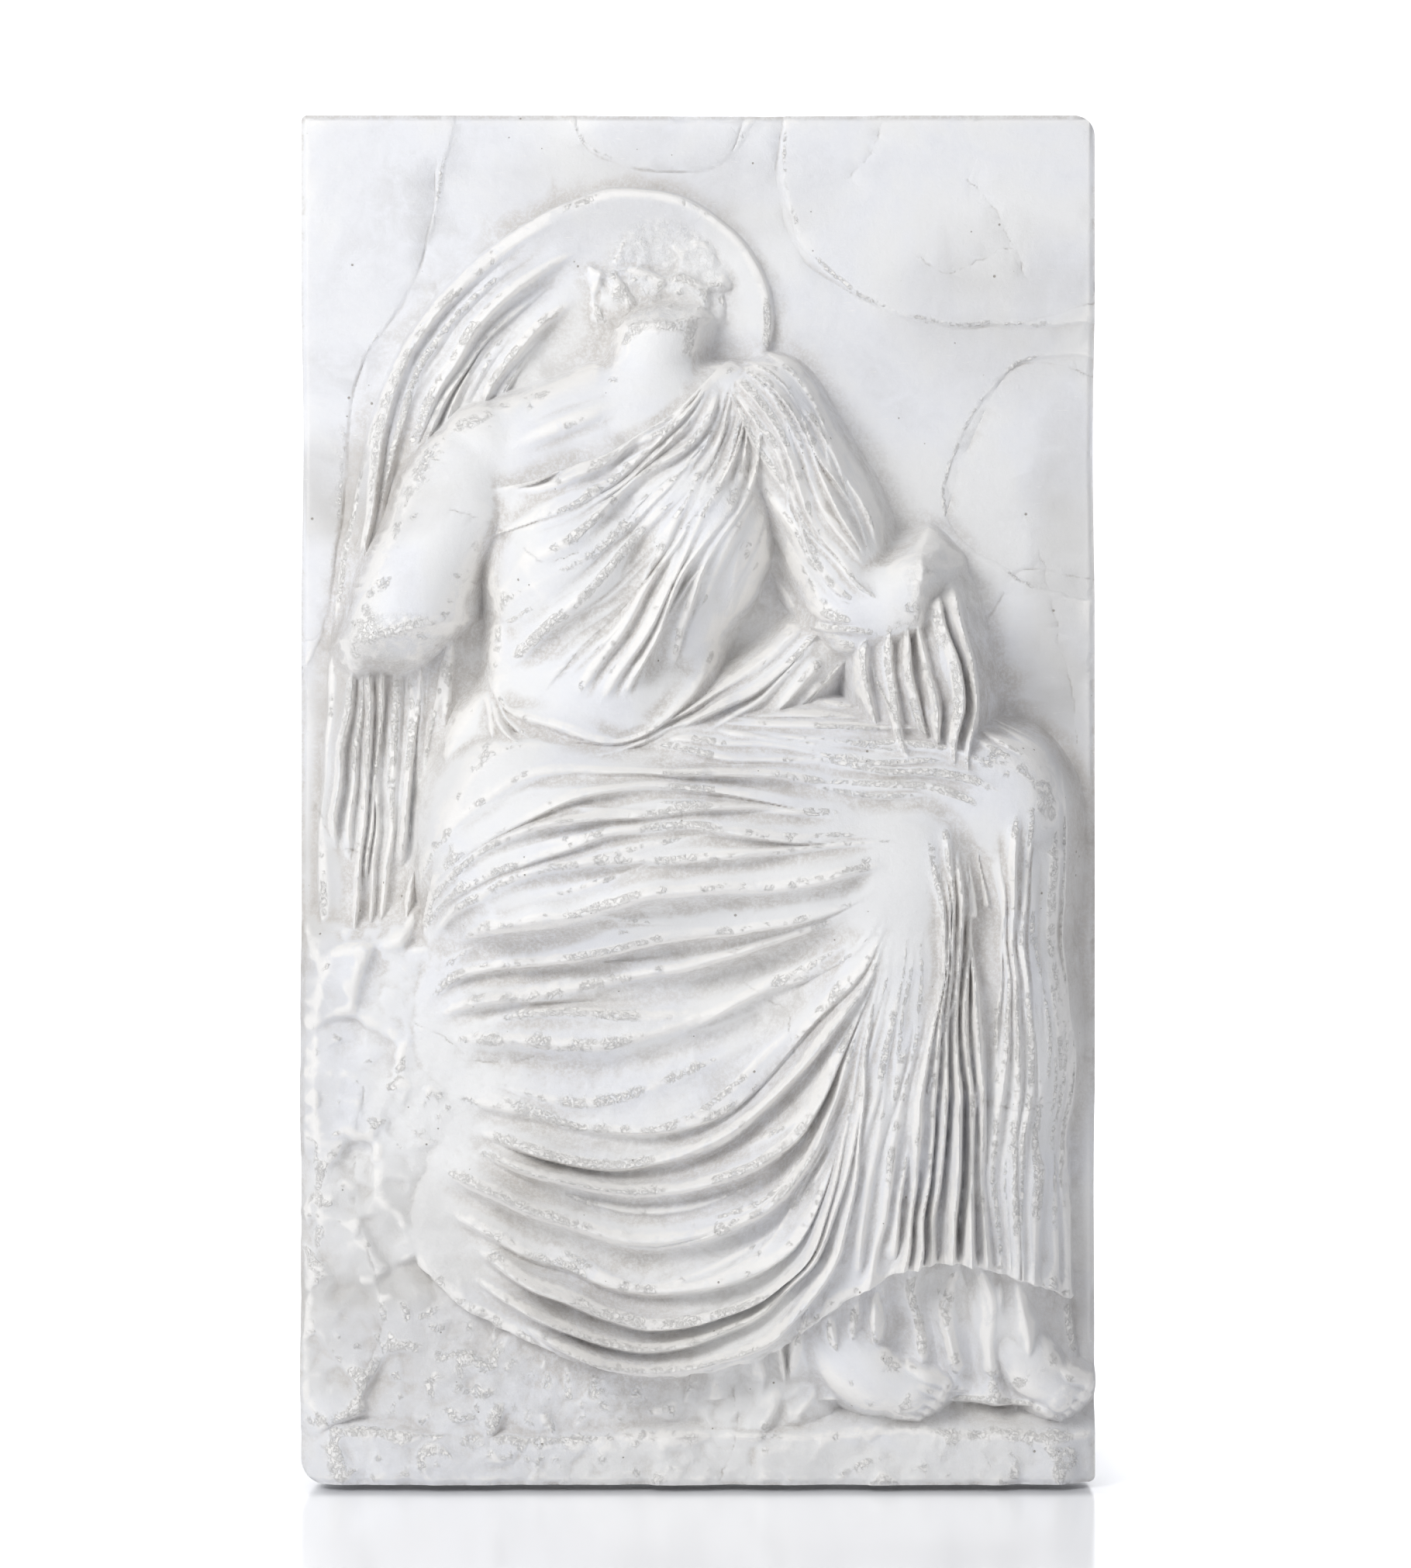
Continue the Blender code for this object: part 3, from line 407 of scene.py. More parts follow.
@dataclass(frozen=True)
class FoldStyle:
    """How one family of folds is cut.

    Attributes:
        count: How many folds.
        height: Their mean height in metres.
        seed: Which irregularity.
        sharp: How pinched the crests are.
        lean: How much steeper the flank towards the next guide is.
        rise: Share of length over which a fold comes up.
        fall: Share of length over which it dies away.
        stagger: Greatest share of length by which ends are set back.
        vary: How much the heights differ.
        fill: Share of the gap to the neighbour that a fold's flank takes.
        sway: How far a crest wavers, in metres.
        merge: Share of neighbours that run together at one end.
        narrow: Gap under which folds get lower, in metres.
    """

    count: int
    height: float
    seed: int
    sharp: float = 1.5
    lean: float = 0.35
    rise: float = 0.12
    fall: float = 0.10
    stagger: float = 0.1
    vary: float = 0.4
    fill: float = 1.0
    sway: float = 0.004
    merge: float = 0.45
    narrow: float = 0.010

    def thinner(self, share: float) -> "FoldStyle":
        """Style of the small folds on this family's slopes.

        Args:
            share: Their height as a share of the main folds' height.

        Returns:
            The style, with more folds that are lower, shorter and less even.
        """
        return replace(
            self, count=int(self.count * 2.1) + 1, height=self.height * share, seed=self.seed + 900,
            sharp=1.8, lean=0.2, rise=0.18, fall=0.25, stagger=0.45, vary=0.7, sway=self.sway * 1.4,
            merge=0.55, narrow=self.narrow * 0.7,
        )


@dataclass
class Carver:
    """Forms, edges and folds, drawn in the figure's own units."""

    grid: Grid
    fine: float = 0.32
    uneven: float = 0.42

    def on_slab(self, points: Sequence) -> Field:
        """The figure's units to metres on the slab; further columns stay.

        Args:
            points: Rows of x, z and any further values.

        Returns:
            The rows with x and z in metres.
        """
        out = np.array(points, float)
        out[..., 0] *= RELIEF.unit
        out[..., 1] = out[..., 1] * RELIEF.unit + RELIEF.ledge_height
        return out

    def limb(self, stations: Sequence, flat: float = 1.0, wall: float = RELIEF.wall) -> Field:
        """Rounded tapering form.

        Args:
            stations: Rows of x, z, depth and radius.
            flat: Share of its roundness that is kept.
            wall: Slope at which its sides fall away.

        Returns:
            Its height, -1 out of reach.
        """
        line = curve(self.on_slab(stations), 36)
        depth, radius = line[:, 2] * RELIEF.depth, line[:, 3] * RELIEF.unit
        reach = radius.max() + 1.3 * RELIEF.depth / wall + 0.006
        win, distance, _, place = self.grid.nearest(line, reach)
        shares = arc_shares(line)
        d = np.interp(place, shares, depth)
        r = np.interp(place, shares, radius)
        tangent = np.hypot(1, wall / flat)
        turn = r * (wall / flat) / tangent
        crown = d + np.sqrt(np.clip(r * r - distance * distance, 0, None)) * flat
        side = d + flat * r / tangent - wall * (distance - turn)
        out = np.full(self.grid.x.shape, -1.0)
        out[win] = np.where(np.isfinite(distance), np.where(distance < turn, crown, side), -1.0)
        return out

    def local(self, x: float, z: float, rx: float, rz: float, turn: float) -> Field:
        """Distance in a turned ellipse.

        Args:
            x: Middle of the ellipse across.
            z: Middle of the ellipse up.
            rx: Half width.
            rz: Half height.
            turn: Degrees anticlockwise.

        Returns:
            0 in the middle and 1 at the rim.
        """
        cx, cz = self.on_slab((x, z))
        ca, sa = np.cos(np.radians(turn)), np.sin(np.radians(turn))
        px, pz = self.grid.x - cx, self.grid.z - cz
        u = (px * ca + pz * sa) / (rx * RELIEF.unit)
        v = (-px * sa + pz * ca) / (rz * RELIEF.unit)
        return np.hypot(u, v)

    def lump(self, x: float, z: float, rx: float, rz: float, depth: float, out: float,
             turn: float = 0.0) -> Field:
        """Half ellipsoid that stands out from a depth.

        Args:
            x: Middle across.
            z: Middle up.
            rx: Half width.
            rz: Half height.
            depth: Where its rim lies.
            out: How far its crown stands out from the rim.
            turn: Degrees anticlockwise.

        Returns:
            Its height.
        """
        e = self.local(x, z, rx, rz, turn)
        crown = (depth + np.sqrt(np.clip(1 - e * e, 0, None)) * out) * RELIEF.depth
        slope = RELIEF.wall * min(rx, rz) * RELIEF.unit / (out * RELIEF.depth)
        tangent = np.hypot(1, slope)
        side = (depth + out / tangent - out * slope * (e - slope / tangent)) * RELIEF.depth
        return np.where(e < slope / tangent, crown, side)

    def swelling(self, x: float, z: float, rx: float, rz: float, turn: float = 0.0) -> Field:
        """Soft bell, 1 in the middle and 0 at the rim of the ellipse."""
        return np.clip(1 - self.local(x, z, rx, rz, turn) ** 2, 0, 1) ** 2

    def side_of(self, points: Sequence) -> Field:
        """Signed distance to a line.

        Args:
            points: Where the line runs.

        Returns:
            The distance in metres, positive on the left of travel.
        """
        win, distance, side, _ = self.grid.nearest(curve(self.on_slab(points), 80), 2.0)
        out = np.zeros(self.grid.x.shape)
        out[win] = distance * side
        return out

    def inside(self, points: Sequence) -> Field:
        """Signed distance to a closed outline.

        Args:
            points: The outline's points in order.

        Returns:
            The distance in metres, positive inside.
        """
        line = closed_curve(self.on_slab(points))
        x, z = self.grid.x, self.grid.z
        best = np.full(x.shape, np.inf)
        odd = np.zeros(x.shape, bool)
        for a, b in zip(line[:-1], line[1:]):
            dx, dz = b - a
            f = np.clip(((x - a[0]) * dx + (z - a[1]) * dz) / max(dx * dx + dz * dz, 1e-12), 0, 1)
            best = np.minimum(best, (x - a[0] - f * dx) ** 2 + (z - a[1] - f * dz) ** 2)
            if abs(dz) > 1e-12:
                odd ^= ((a[1] > z) != (b[1] > z)) & (x < dx * (z - a[1]) / dz + a[0])
        return np.where(odd, 1, -1) * np.sqrt(best)

    def fold_lines(self, guides: Guides, style: FoldStyle, rng: np.random.Generator) -> Field:
        """Crest lines spread over the guides, wavering, some of them running together.

        Args:
            guides: Lines that the folds run between.
            style: How the family is cut.
            rng: Source of its irregularity.

        Returns:
            One row of points for each fold.
        """
        g = np.stack([curve(self.on_slab(points)) for points in guides])
        last = len(g) - 1
        places = np.linspace(0, 1, style.count)
        jitter = rng.uniform(-1, 1, style.count) * self.uneven / max(style.count - 1, 1)
        jitter[[0, -1]] *= 0.3
        lines = []
        for place in np.clip(places + jitter, 0, 1) * last:
            k = min(int(place), last - 1)
            before = g[k - 1] if k > 0 else 2 * g[0] - g[1]
            after = g[k + 2] if k + 2 <= last else 2 * g[last] - g[last - 1]
            lines.append(spline_point(before, g[k], g[k + 1], after, place - k))
        lines = np.array(lines)
        share = np.linspace(0, 1, lines.shape[1])
        for line in lines:
            phase, turns = rng.uniform(0, 2 * np.pi), rng.uniform(0.8, 2.2)
            along = np.gradient(line, axis=0)
            across = np.stack([-along[:, 1], along[:, 0]], 1)
            across /= np.linalg.norm(across, axis=1, keepdims=True) + 1e-9
            waver = np.sin(phase + turns * 2 * np.pi * share) * np.sin(np.pi * share) * style.sway
            line += across * waver[:, None]
        k = 0
        while k < style.count - 1:
            if rng.uniform() < style.merge:
                late = rng.uniform() < 0.5
                pull = ease(share, 0.45, 0.95) if late else 1 - ease(share, 0.05, 0.55)
                middle = (lines[k] + lines[k + 1]) / 2
                lines[k] += (middle - lines[k]) * (0.95 * pull)[:, None]
                lines[k + 1] += (middle - lines[k + 1]) * (0.95 * pull)[:, None]
                k += 1
            k += 1
        return lines

    def family(self, guides: Guides, style: FoldStyle) -> Field:
        """Height of one family of folds that runs from guide to guide.

        Args:
            guides: Lines that the folds run between.
            style: How the family is cut.

        Returns:
            The family's height, 0 where there is none.
        """
        rng = np.random.default_rng(style.seed)
        lines = self.fold_lines(guides, style, rng)
        out = np.zeros(self.grid.x.shape)
        for k, line in enumerate(lines):
            nearby = lines[k - 1] if k > 0 else lines[k + 1]
            other = lines[k + 1] if k < style.count - 1 else lines[k - 1]
            gap_back = np.linalg.norm(line - nearby, axis=1)
            gap_on = np.linalg.norm(line - other, axis=1)
            size = style.height * (1 + style.vary * rng.uniform(-1, 1))
            start, end = style.stagger * rng.uniform(0, 1), 1 - style.stagger * rng.uniform(0, 1)
            phase, turns = rng.uniform(0, 2 * np.pi), rng.uniform(1.0, 2.5)
            reach = max(gap_back.max(), gap_on.max()) * style.fill + 0.006
            win, distance, side, place = self.grid.nearest(line, reach)
            shares = arc_shares(line)
            back = np.interp(place, shares, np.maximum(gap_back, 0.003)) * style.fill
            on = np.interp(place, shares, np.maximum(gap_on, 0.003)) * style.fill
            mid = len(line) // 2
            dx, dz = line[mid + 1] - line[mid - 1]
            px, pz = other[mid] - line[mid]
            next_side = np.sign(dx * pz - dz * px) * (1 if k < style.count - 1 else -1)
            flank = np.where(side * next_side > 0, on * (1 - style.lean), back * (1 + style.lean))
            profile = ridge(np.clip(distance / flank, 0, 1), style.sharp)
            along = ease(place, start - 1e-6, start + style.rise)
            along = along * (1 - ease(place, end - style.fall, end + 1e-6))
            along = along * (1 + 0.25 * np.sin(phase + turns * 2 * np.pi * place))
            thin = np.minimum(1, (np.minimum(back, on) / style.narrow) ** 0.7)
            crest = np.where(np.isfinite(distance), size * profile * along * thin, 0)
            out[win] = np.maximum(out[win], crest)
        return out

    def folds(self, guides: Guides, style: FoldStyle) -> Field:
        """A family of folds with thinner ones on its slopes.

        Args:
            guides: Lines that the folds run between.
            style: How the main folds are cut.

        Returns:
            The height of all of them, 0 where there are none.
        """
        main = self.family(guides, style)
        thin = self.family(guides, style.thinner(self.fine))
        return main + thin * (1 - 0.6 * np.clip(main / style.height, 0, 1))

    def crowns(self, body: Field, size: float = 0.022, full: float = 0.010) -> Field:
        """Where cloth is stretched over a full form.

        Args:
            body: Height of the form under the cloth.
            size: Size of the forms looked for, in metres.
            full: How far a crown stands over its surroundings to count in full.

        Returns:
            1 on the crowns and 0 in the hollows.
        """
        return ease(body - soften(body, int(size / self.grid.step)), 0.0005, full)


THIGH_TO_HEM: Guides = (
    ((0.184, 0.462), (0.090, 0.486), (-0.02, 0.500), (-0.13, 0.490), (-0.205, 0.440), (-0.228, 0.370)),
    ((0.176, 0.444), (0.090, 0.448), (-0.02, 0.452), (-0.12, 0.440), (-0.195, 0.395), (-0.226, 0.335)),
    ((0.168, 0.424), (0.092, 0.404), (-0.01, 0.386), (-0.11, 0.375), (-0.185, 0.350), (-0.228, 0.305)),
    ((0.160, 0.408), (0.106, 0.345), (0.018, 0.290), (-0.08, 0.268), (-0.165, 0.275), (-0.224, 0.275)),
    ((0.152, 0.398), (0.114, 0.285), (0.042, 0.200), (-0.05, 0.170), (-0.140, 0.190), (-0.220, 0.225)),
    ((0.146, 0.385), (0.118, 0.225), (0.060, 0.125), (-0.03, 0.088), (-0.120, 0.110), (-0.212, 0.165)),
    ((0.140, 0.370), (0.118, 0.170), (0.070, 0.070), (-0.01, 0.030), (-0.105, 0.042), (-0.205, 0.105)),
)
MANTLE_HEM = (
    (-0.235, 0.120), (-0.16, 0.062), (-0.08, 0.032), (0.01, 0.026), (0.075, 0.050), (0.13, 0.092),
    (0.20, 0.108), (0.31, 0.080),
)
NECKLINE = ((0.040, 0.85), (0.016, 0.812), (-0.028, 0.764), (-0.092, 0.732), (-0.160, 0.716), (-0.24, 0.70))
VEIL_EDGE = (
    (0.055, 0.83), (0.040, 0.910), (-0.020, 0.952), (-0.105, 0.945), (-0.190, 0.888), (-0.250, 0.795),
    (-0.284, 0.660), (-0.294, 0.520), (-0.290, 0.34), (-0.20, 0.25), (-0.08, 0.40), (-0.02, 0.70),
)
VEIL_LINES: Guides = (
    ((-0.030, 0.945), (-0.130, 0.920), (-0.215, 0.835), (-0.262, 0.68), (-0.280, 0.50), (-0.282, 0.33)),
    ((-0.080, 0.900), (-0.130, 0.865), (-0.182, 0.800), (-0.232, 0.66), (-0.250, 0.50), (-0.254, 0.33)),
    ((-0.100, 0.850), (-0.135, 0.815), (-0.160, 0.750), (-0.190, 0.63), (-0.208, 0.50), (-0.215, 0.33)),
)

# Directions along and across a foot, as seen from the front
SOLE_ALONG = np.array((0.92, -0.39))
SOLE_NORMAL = np.array((0.39, 0.92))
# Outline of each marble fragment that stands at its own level, and the step in metres
PLATES = (
    (((-0.33, 0.60), (-0.33, 1.05), (-0.20, 1.05), (-0.215, 0.90), (-0.27, 0.80), (-0.295, 0.62)), 0.0016),
    (((0.10, 1.05), (0.075, 0.93), (0.150, 0.86), (0.240, 0.845), (0.34, 0.87), (0.34, 1.05)), 0.0021),
    (((0.200, 0.72), (0.235, 0.66), (0.34, 0.64), (0.34, 0.80), (0.250, 0.815)), -0.0018),
    (((-0.10, 1.05), (-0.085, 0.985), (-0.02, 0.970), (0.03, 0.985), (0.045, 1.05)), 0.0013),
)
# Joints between the fragments: line, width and wander in metres, seed
JOINTS = (
    (((-0.20, 1.06), (-0.215, 0.90), (-0.27, 0.80), (-0.295, 0.62), (-0.32, 0.60)), 0.0016, 0.002, 3),
    (((0.075, 1.06), (0.070, 0.93), (0.150, 0.86), (0.240, 0.845), (0.34, 0.87)), 0.0018, 0.003, 4),
    (((0.200, 0.70), (0.250, 0.815), (0.34, 0.80)), 0.0015, 0.003, 5),
    (((0.225, 0.60), (0.262, 0.655), (0.34, 0.64)), 0.0015, 0.003, 6),
    (((-0.10, 1.06), (-0.085, 0.985), (-0.02, 0.970), (0.03, 0.985), (0.045, 1.06)), 0.0015, 0.002, 8),
)
CRACKS = (
    ((0.155, 1.03), (0.140, 1.000), (0.118, 0.965)),
    ((0.210, 0.960), (0.236, 0.925), (0.262, 0.880)),
    ((0.262, 0.700), (0.284, 0.600), (0.300, 0.520)),
    ((-0.196, 0.702), (-0.150, 0.684), (-0.120, 0.660), (-0.090, 0.664)),
    ((-0.225, 0.300), (-0.180, 0.272), (-0.150, 0.262), (-0.110, 0.270)),
    ((0.020, -0.060), (0.030, -0.020), (0.024, 0.010)),
    ((-0.262, 0.250), (-0.272, 0.160), (-0.250, 0.080), (-0.262, 0.010)),
    ((0.206, 0.246), (0.240, 0.236), (0.282, 0.240)),
    ((0.040, 0.330), (0.072, 0.300), (0.080, 0.262)),
    ((-0.305, 0.480), (-0.284, 0.440), (-0.252, 0.430)),
    ((0.170, 0.900), (0.200, 0.890), (0.250, 0.905)),
)
# Stains and painted shade on the slab, the tall strip by the right edge being painted shadow of the figure
# and the wide band along the bottom painted shade: middle, half width and half height in metres, strength
STAINS_AND_SHADE = (
    (-0.262, 0.765, 0.080, 0.046, 1.0), (-0.268, 0.610, 0.045, 0.060, 0.8),
    (-0.225, 0.145, 0.120, 0.110, 1.0), (0.020, 0.030, 0.330, 0.050, 0.40),
    (0.285, 0.560, 0.034, 0.320, 0.8), (0.240, 0.905, 0.100, 0.080, 0.45),
    (0.270, 0.120, 0.070, 0.120, 0.6), (-0.300, 0.400, 0.030, 0.180, 0.7),
    (-0.030, 1.000, 0.150, 0.050, 0.35),
)
# Break surfaces in the figure's units: middle, half width and half height
BREAKS = (
    (-0.028, 0.853, 0.046, 0.020), (-0.232, 0.598, 0.058, 0.030), (0.190, 0.646, 0.034, 0.042),
    (-0.030, 0.890, 0.062, 0.056),
)


@dataclass
class Carving:
    """A part of the relief that is cut with the shared carver."""

    carver: Carver

    @property
    def grid(self) -> Grid:
        """The grid that its heights are worked out on."""
        return self.carver.grid


@dataclass
class Veil(Carving):
    """Mantle that was drawn over the head and falls behind the back."""

    sheet: float = 0.010

    def height(self) -> Field:
        """A sheet that is thickest at its edge, in folds.

        Returns:
            Its height in front of the slab's face.
        """
        edge = self.carver.inside(VEIL_EDGE)
        sheet = self.sheet * ease(edge, -0.002, 0.003) * (1 - 0.45 * ease(edge, 0.002, 0.045))
        style = FoldStyle(9, 0.016, seed=71, sharp=1.7, fall=0.05, stagger=0.15, vary=0.45)
        return sheet + self.carver.folds(VEIL_LINES, style) * ease(edge, 0.0, 0.006)


@dataclass
class Stonework(Carving):
    """Rough stone: the rock seat, the scar where the head was, and the ground."""

    seat: float = 0.026
    scar: float = 0.010

    def cleft(self, size: float, seed: int, tilt: float, offset: float, blunt: float) -> Field:
        """Broken faces with worn edges.

        Args:
            size: Width of a face in metres.
            seed: Which random faces.
            tilt: Greatest slope of a face.
            offset: Greatest step between a face and the mean, in metres.
            blunt: How far the edges are worn, in metres.

        Returns:
            The height field of the faces.
        """
        return soften(self.grid.facets(size, seed, tilt, offset), blunt / self.grid.step)

    def rock(self) -> Field:
        """Rough seat that fills the lower left.

        Returns:
            Its height, -1 out of reach.
        """
        grid = self.grid
        edge = self.carver.inside((
            (-0.300, 0.335), (-0.240, 0.375), (-0.15, 0.38), (0.05, 0.33), (0.10, 0.10), (0.06, -0.03),
            (-0.288, -0.03), (-0.306, 0.15),
        ))
        stone = self.cleft(0.052, 41, 0.22, 0.004, 0.0022)
        stone = stone + 0.45 * self.cleft(0.017, 43, 0.34, 0.002, 0.0012)
        stone = stone + 0.0022 * grid.rough(0.024, 3, 45, 0.7)
        stone = stone + 0.008 * grid.rough(0.110, 3, 47)
        return np.where(edge > -0.03, self.seat + stone - 0.9 * np.clip(0.008 - edge, 0, None), -1)

    def head_scar(self) -> Field:
        """Rough patch where the head was broken away.

        Returns:
            Its height, -1 out of reach.
        """
        edge = self.carver.inside((
            (-0.075, 0.842), (-0.085, 0.885), (-0.060, 0.930), (-0.015, 0.938), (0.022, 0.905),
            (0.026, 0.862), (0.000, 0.838),
        ))
        grid = self.grid
        edge = edge + 0.010 * grid.rough(0.036, 4, 92, 0.62)
        stone = self.scar + self.cleft(0.026, 91, 0.32, 0.004, 0.0012)
        stone = stone + 0.003 * grid.rough(0.034, 4, 88, 0.6)
        stone = stone + 0.45 * self.cleft(0.011, 93, 0.42, 0.0014, 0.0007)
        stone = stone * (1 - 0.55 * ease(grid.z + 0.010 * grid.rough(0.030, 2, 94), 0.925, 0.985))
        return np.where(edge > -0.03, stone - 0.8 * np.clip(0.009 - edge, 0, None), -1)

    def ground(self) -> Field:
        """Rough strip of ground that the figure's feet stand on.

        Returns:
            Its height in front of the slab's face.
        """
        grid = self.grid
        top = RELIEF.ledge_height + 0.006 * grid.rough(0.060, 3, 5)
        stone = self.cleft(0.040, 52, 0.14, 0.003, 0.0016)
        stone = stone + 0.5 * self.cleft(0.016, 53, 0.24, 0.0015, 0.0010)
        end = 0.45 + 0.55 * ease(SLAB.width / 2 - np.abs(grid.flat_x), 0, RELIEF.ledge_end)
        return (RELIEF.ledge_depth + stone) * end * np.clip((top - grid.z) / RELIEF.ledge_slope, 0, 1)


@dataclass
class Torso(Carving):
    """Chest, waist, hips, shoulders and neck, and the thin cloth over them."""

    def trunk(self) -> Field:
        """Chest, waist, hips, shoulders and neck under the cloth.

        Returns:
            Its height in front of the slab's face.
        """
        c = self.carver
        core = join([
            c.lump(-0.058, 0.692, 0.112, 0.124, 0.20, 0.42, turn=-10),
            c.lump(-0.074, 0.590, 0.088, 0.110, 0.22, 0.36, turn=-6),
            c.lump(-0.084, 0.485, 0.122, 0.105, 0.22, 0.40, turn=4),
        ], 0.036)
        shoulders = c.limb((
            (-0.166, 0.732, 0.20, 0.043), (-0.120, 0.755, 0.16, 0.040), (-0.056, 0.772, 0.12, 0.036),
            (0.006, 0.778, 0.14, 0.037), (0.056, 0.768, 0.16, 0.040),
        ))
        neck = c.limb((
            (-0.042, 0.770, 0.20, 0.034), (-0.032, 0.825, 0.27, 0.030), (-0.024, 0.880, 0.30, 0.030),
        ))
        body = smooth_max(smooth_max(core, shoulders, 0.036), neck, 0.024)
        body = body + 0.030 * c.swelling(-0.108, 0.668, 0.068, 0.074, -12)
        body = body + 0.028 * c.swelling(0.006, 0.690, 0.060, 0.072, 16)
        body = body + 0.006 * c.swelling(-0.104, 0.764, 0.060, 0.012, 20)
        return body + 0.009 * c.swelling(-0.078, 0.550, 0.075, 0.060)

    def dressed(self) -> Field:
        """The trunk in thin cloth that hangs from the far shoulder, and the break at the neck.

        Returns:
            Its height in front of the slab's face.
        """
        c = self.carver
        body = self.trunk()
        crowns = c.crowns(body, 0.020, 0.008)
        fan = c.folds((
            ((0.022, 0.828), (-0.020, 0.778), (-0.085, 0.742), (-0.190, 0.716)),
            ((0.028, 0.826), (-0.008, 0.750), (-0.080, 0.690), (-0.192, 0.640)),
            ((0.034, 0.824), (0.004, 0.730), (-0.062, 0.645), (-0.160, 0.560)),
            ((0.042, 0.820), (0.020, 0.725), (-0.030, 0.630), (-0.090, 0.540)),
            ((0.052, 0.812), (0.042, 0.720), (0.004, 0.640), (-0.030, 0.560)),
            ((0.066, 0.800), (0.070, 0.720), (0.044, 0.645), (0.030, 0.580)),
        ), FoldStyle(
            19, 0.014, seed=11, sharp=1.9, rise=0.06, fall=0.12, stagger=0.16, vary=0.5, sway=0.005,
            merge=0.55,
        ))
        belly = c.folds((
            ((-0.168, 0.590), (-0.150, 0.540), (-0.078, 0.520), (-0.010, 0.548), (0.020, 0.600)),
            ((-0.176, 0.560), (-0.150, 0.495), (-0.078, 0.470), (-0.010, 0.505), (0.030, 0.570)),
        ), FoldStyle(5, 0.012, seed=24, sharp=1.6, lean=0.4, rise=0.1))
        cloth = np.maximum(fan * (1 - 0.60 * crowns), belly * (1 - 0.50 * crowns)) + 0.004
        out = body + cloth * ease(c.side_of(NECKLINE), -0.0012, 0.0012)
        above_break = c.side_of(((-0.12, 0.856), (-0.045, 0.846), (0.04, 0.862)))
        return out - 2.4 * np.clip(above_break + 0.006 * c.grid.rough(0.030, 4, 77), 0, None)


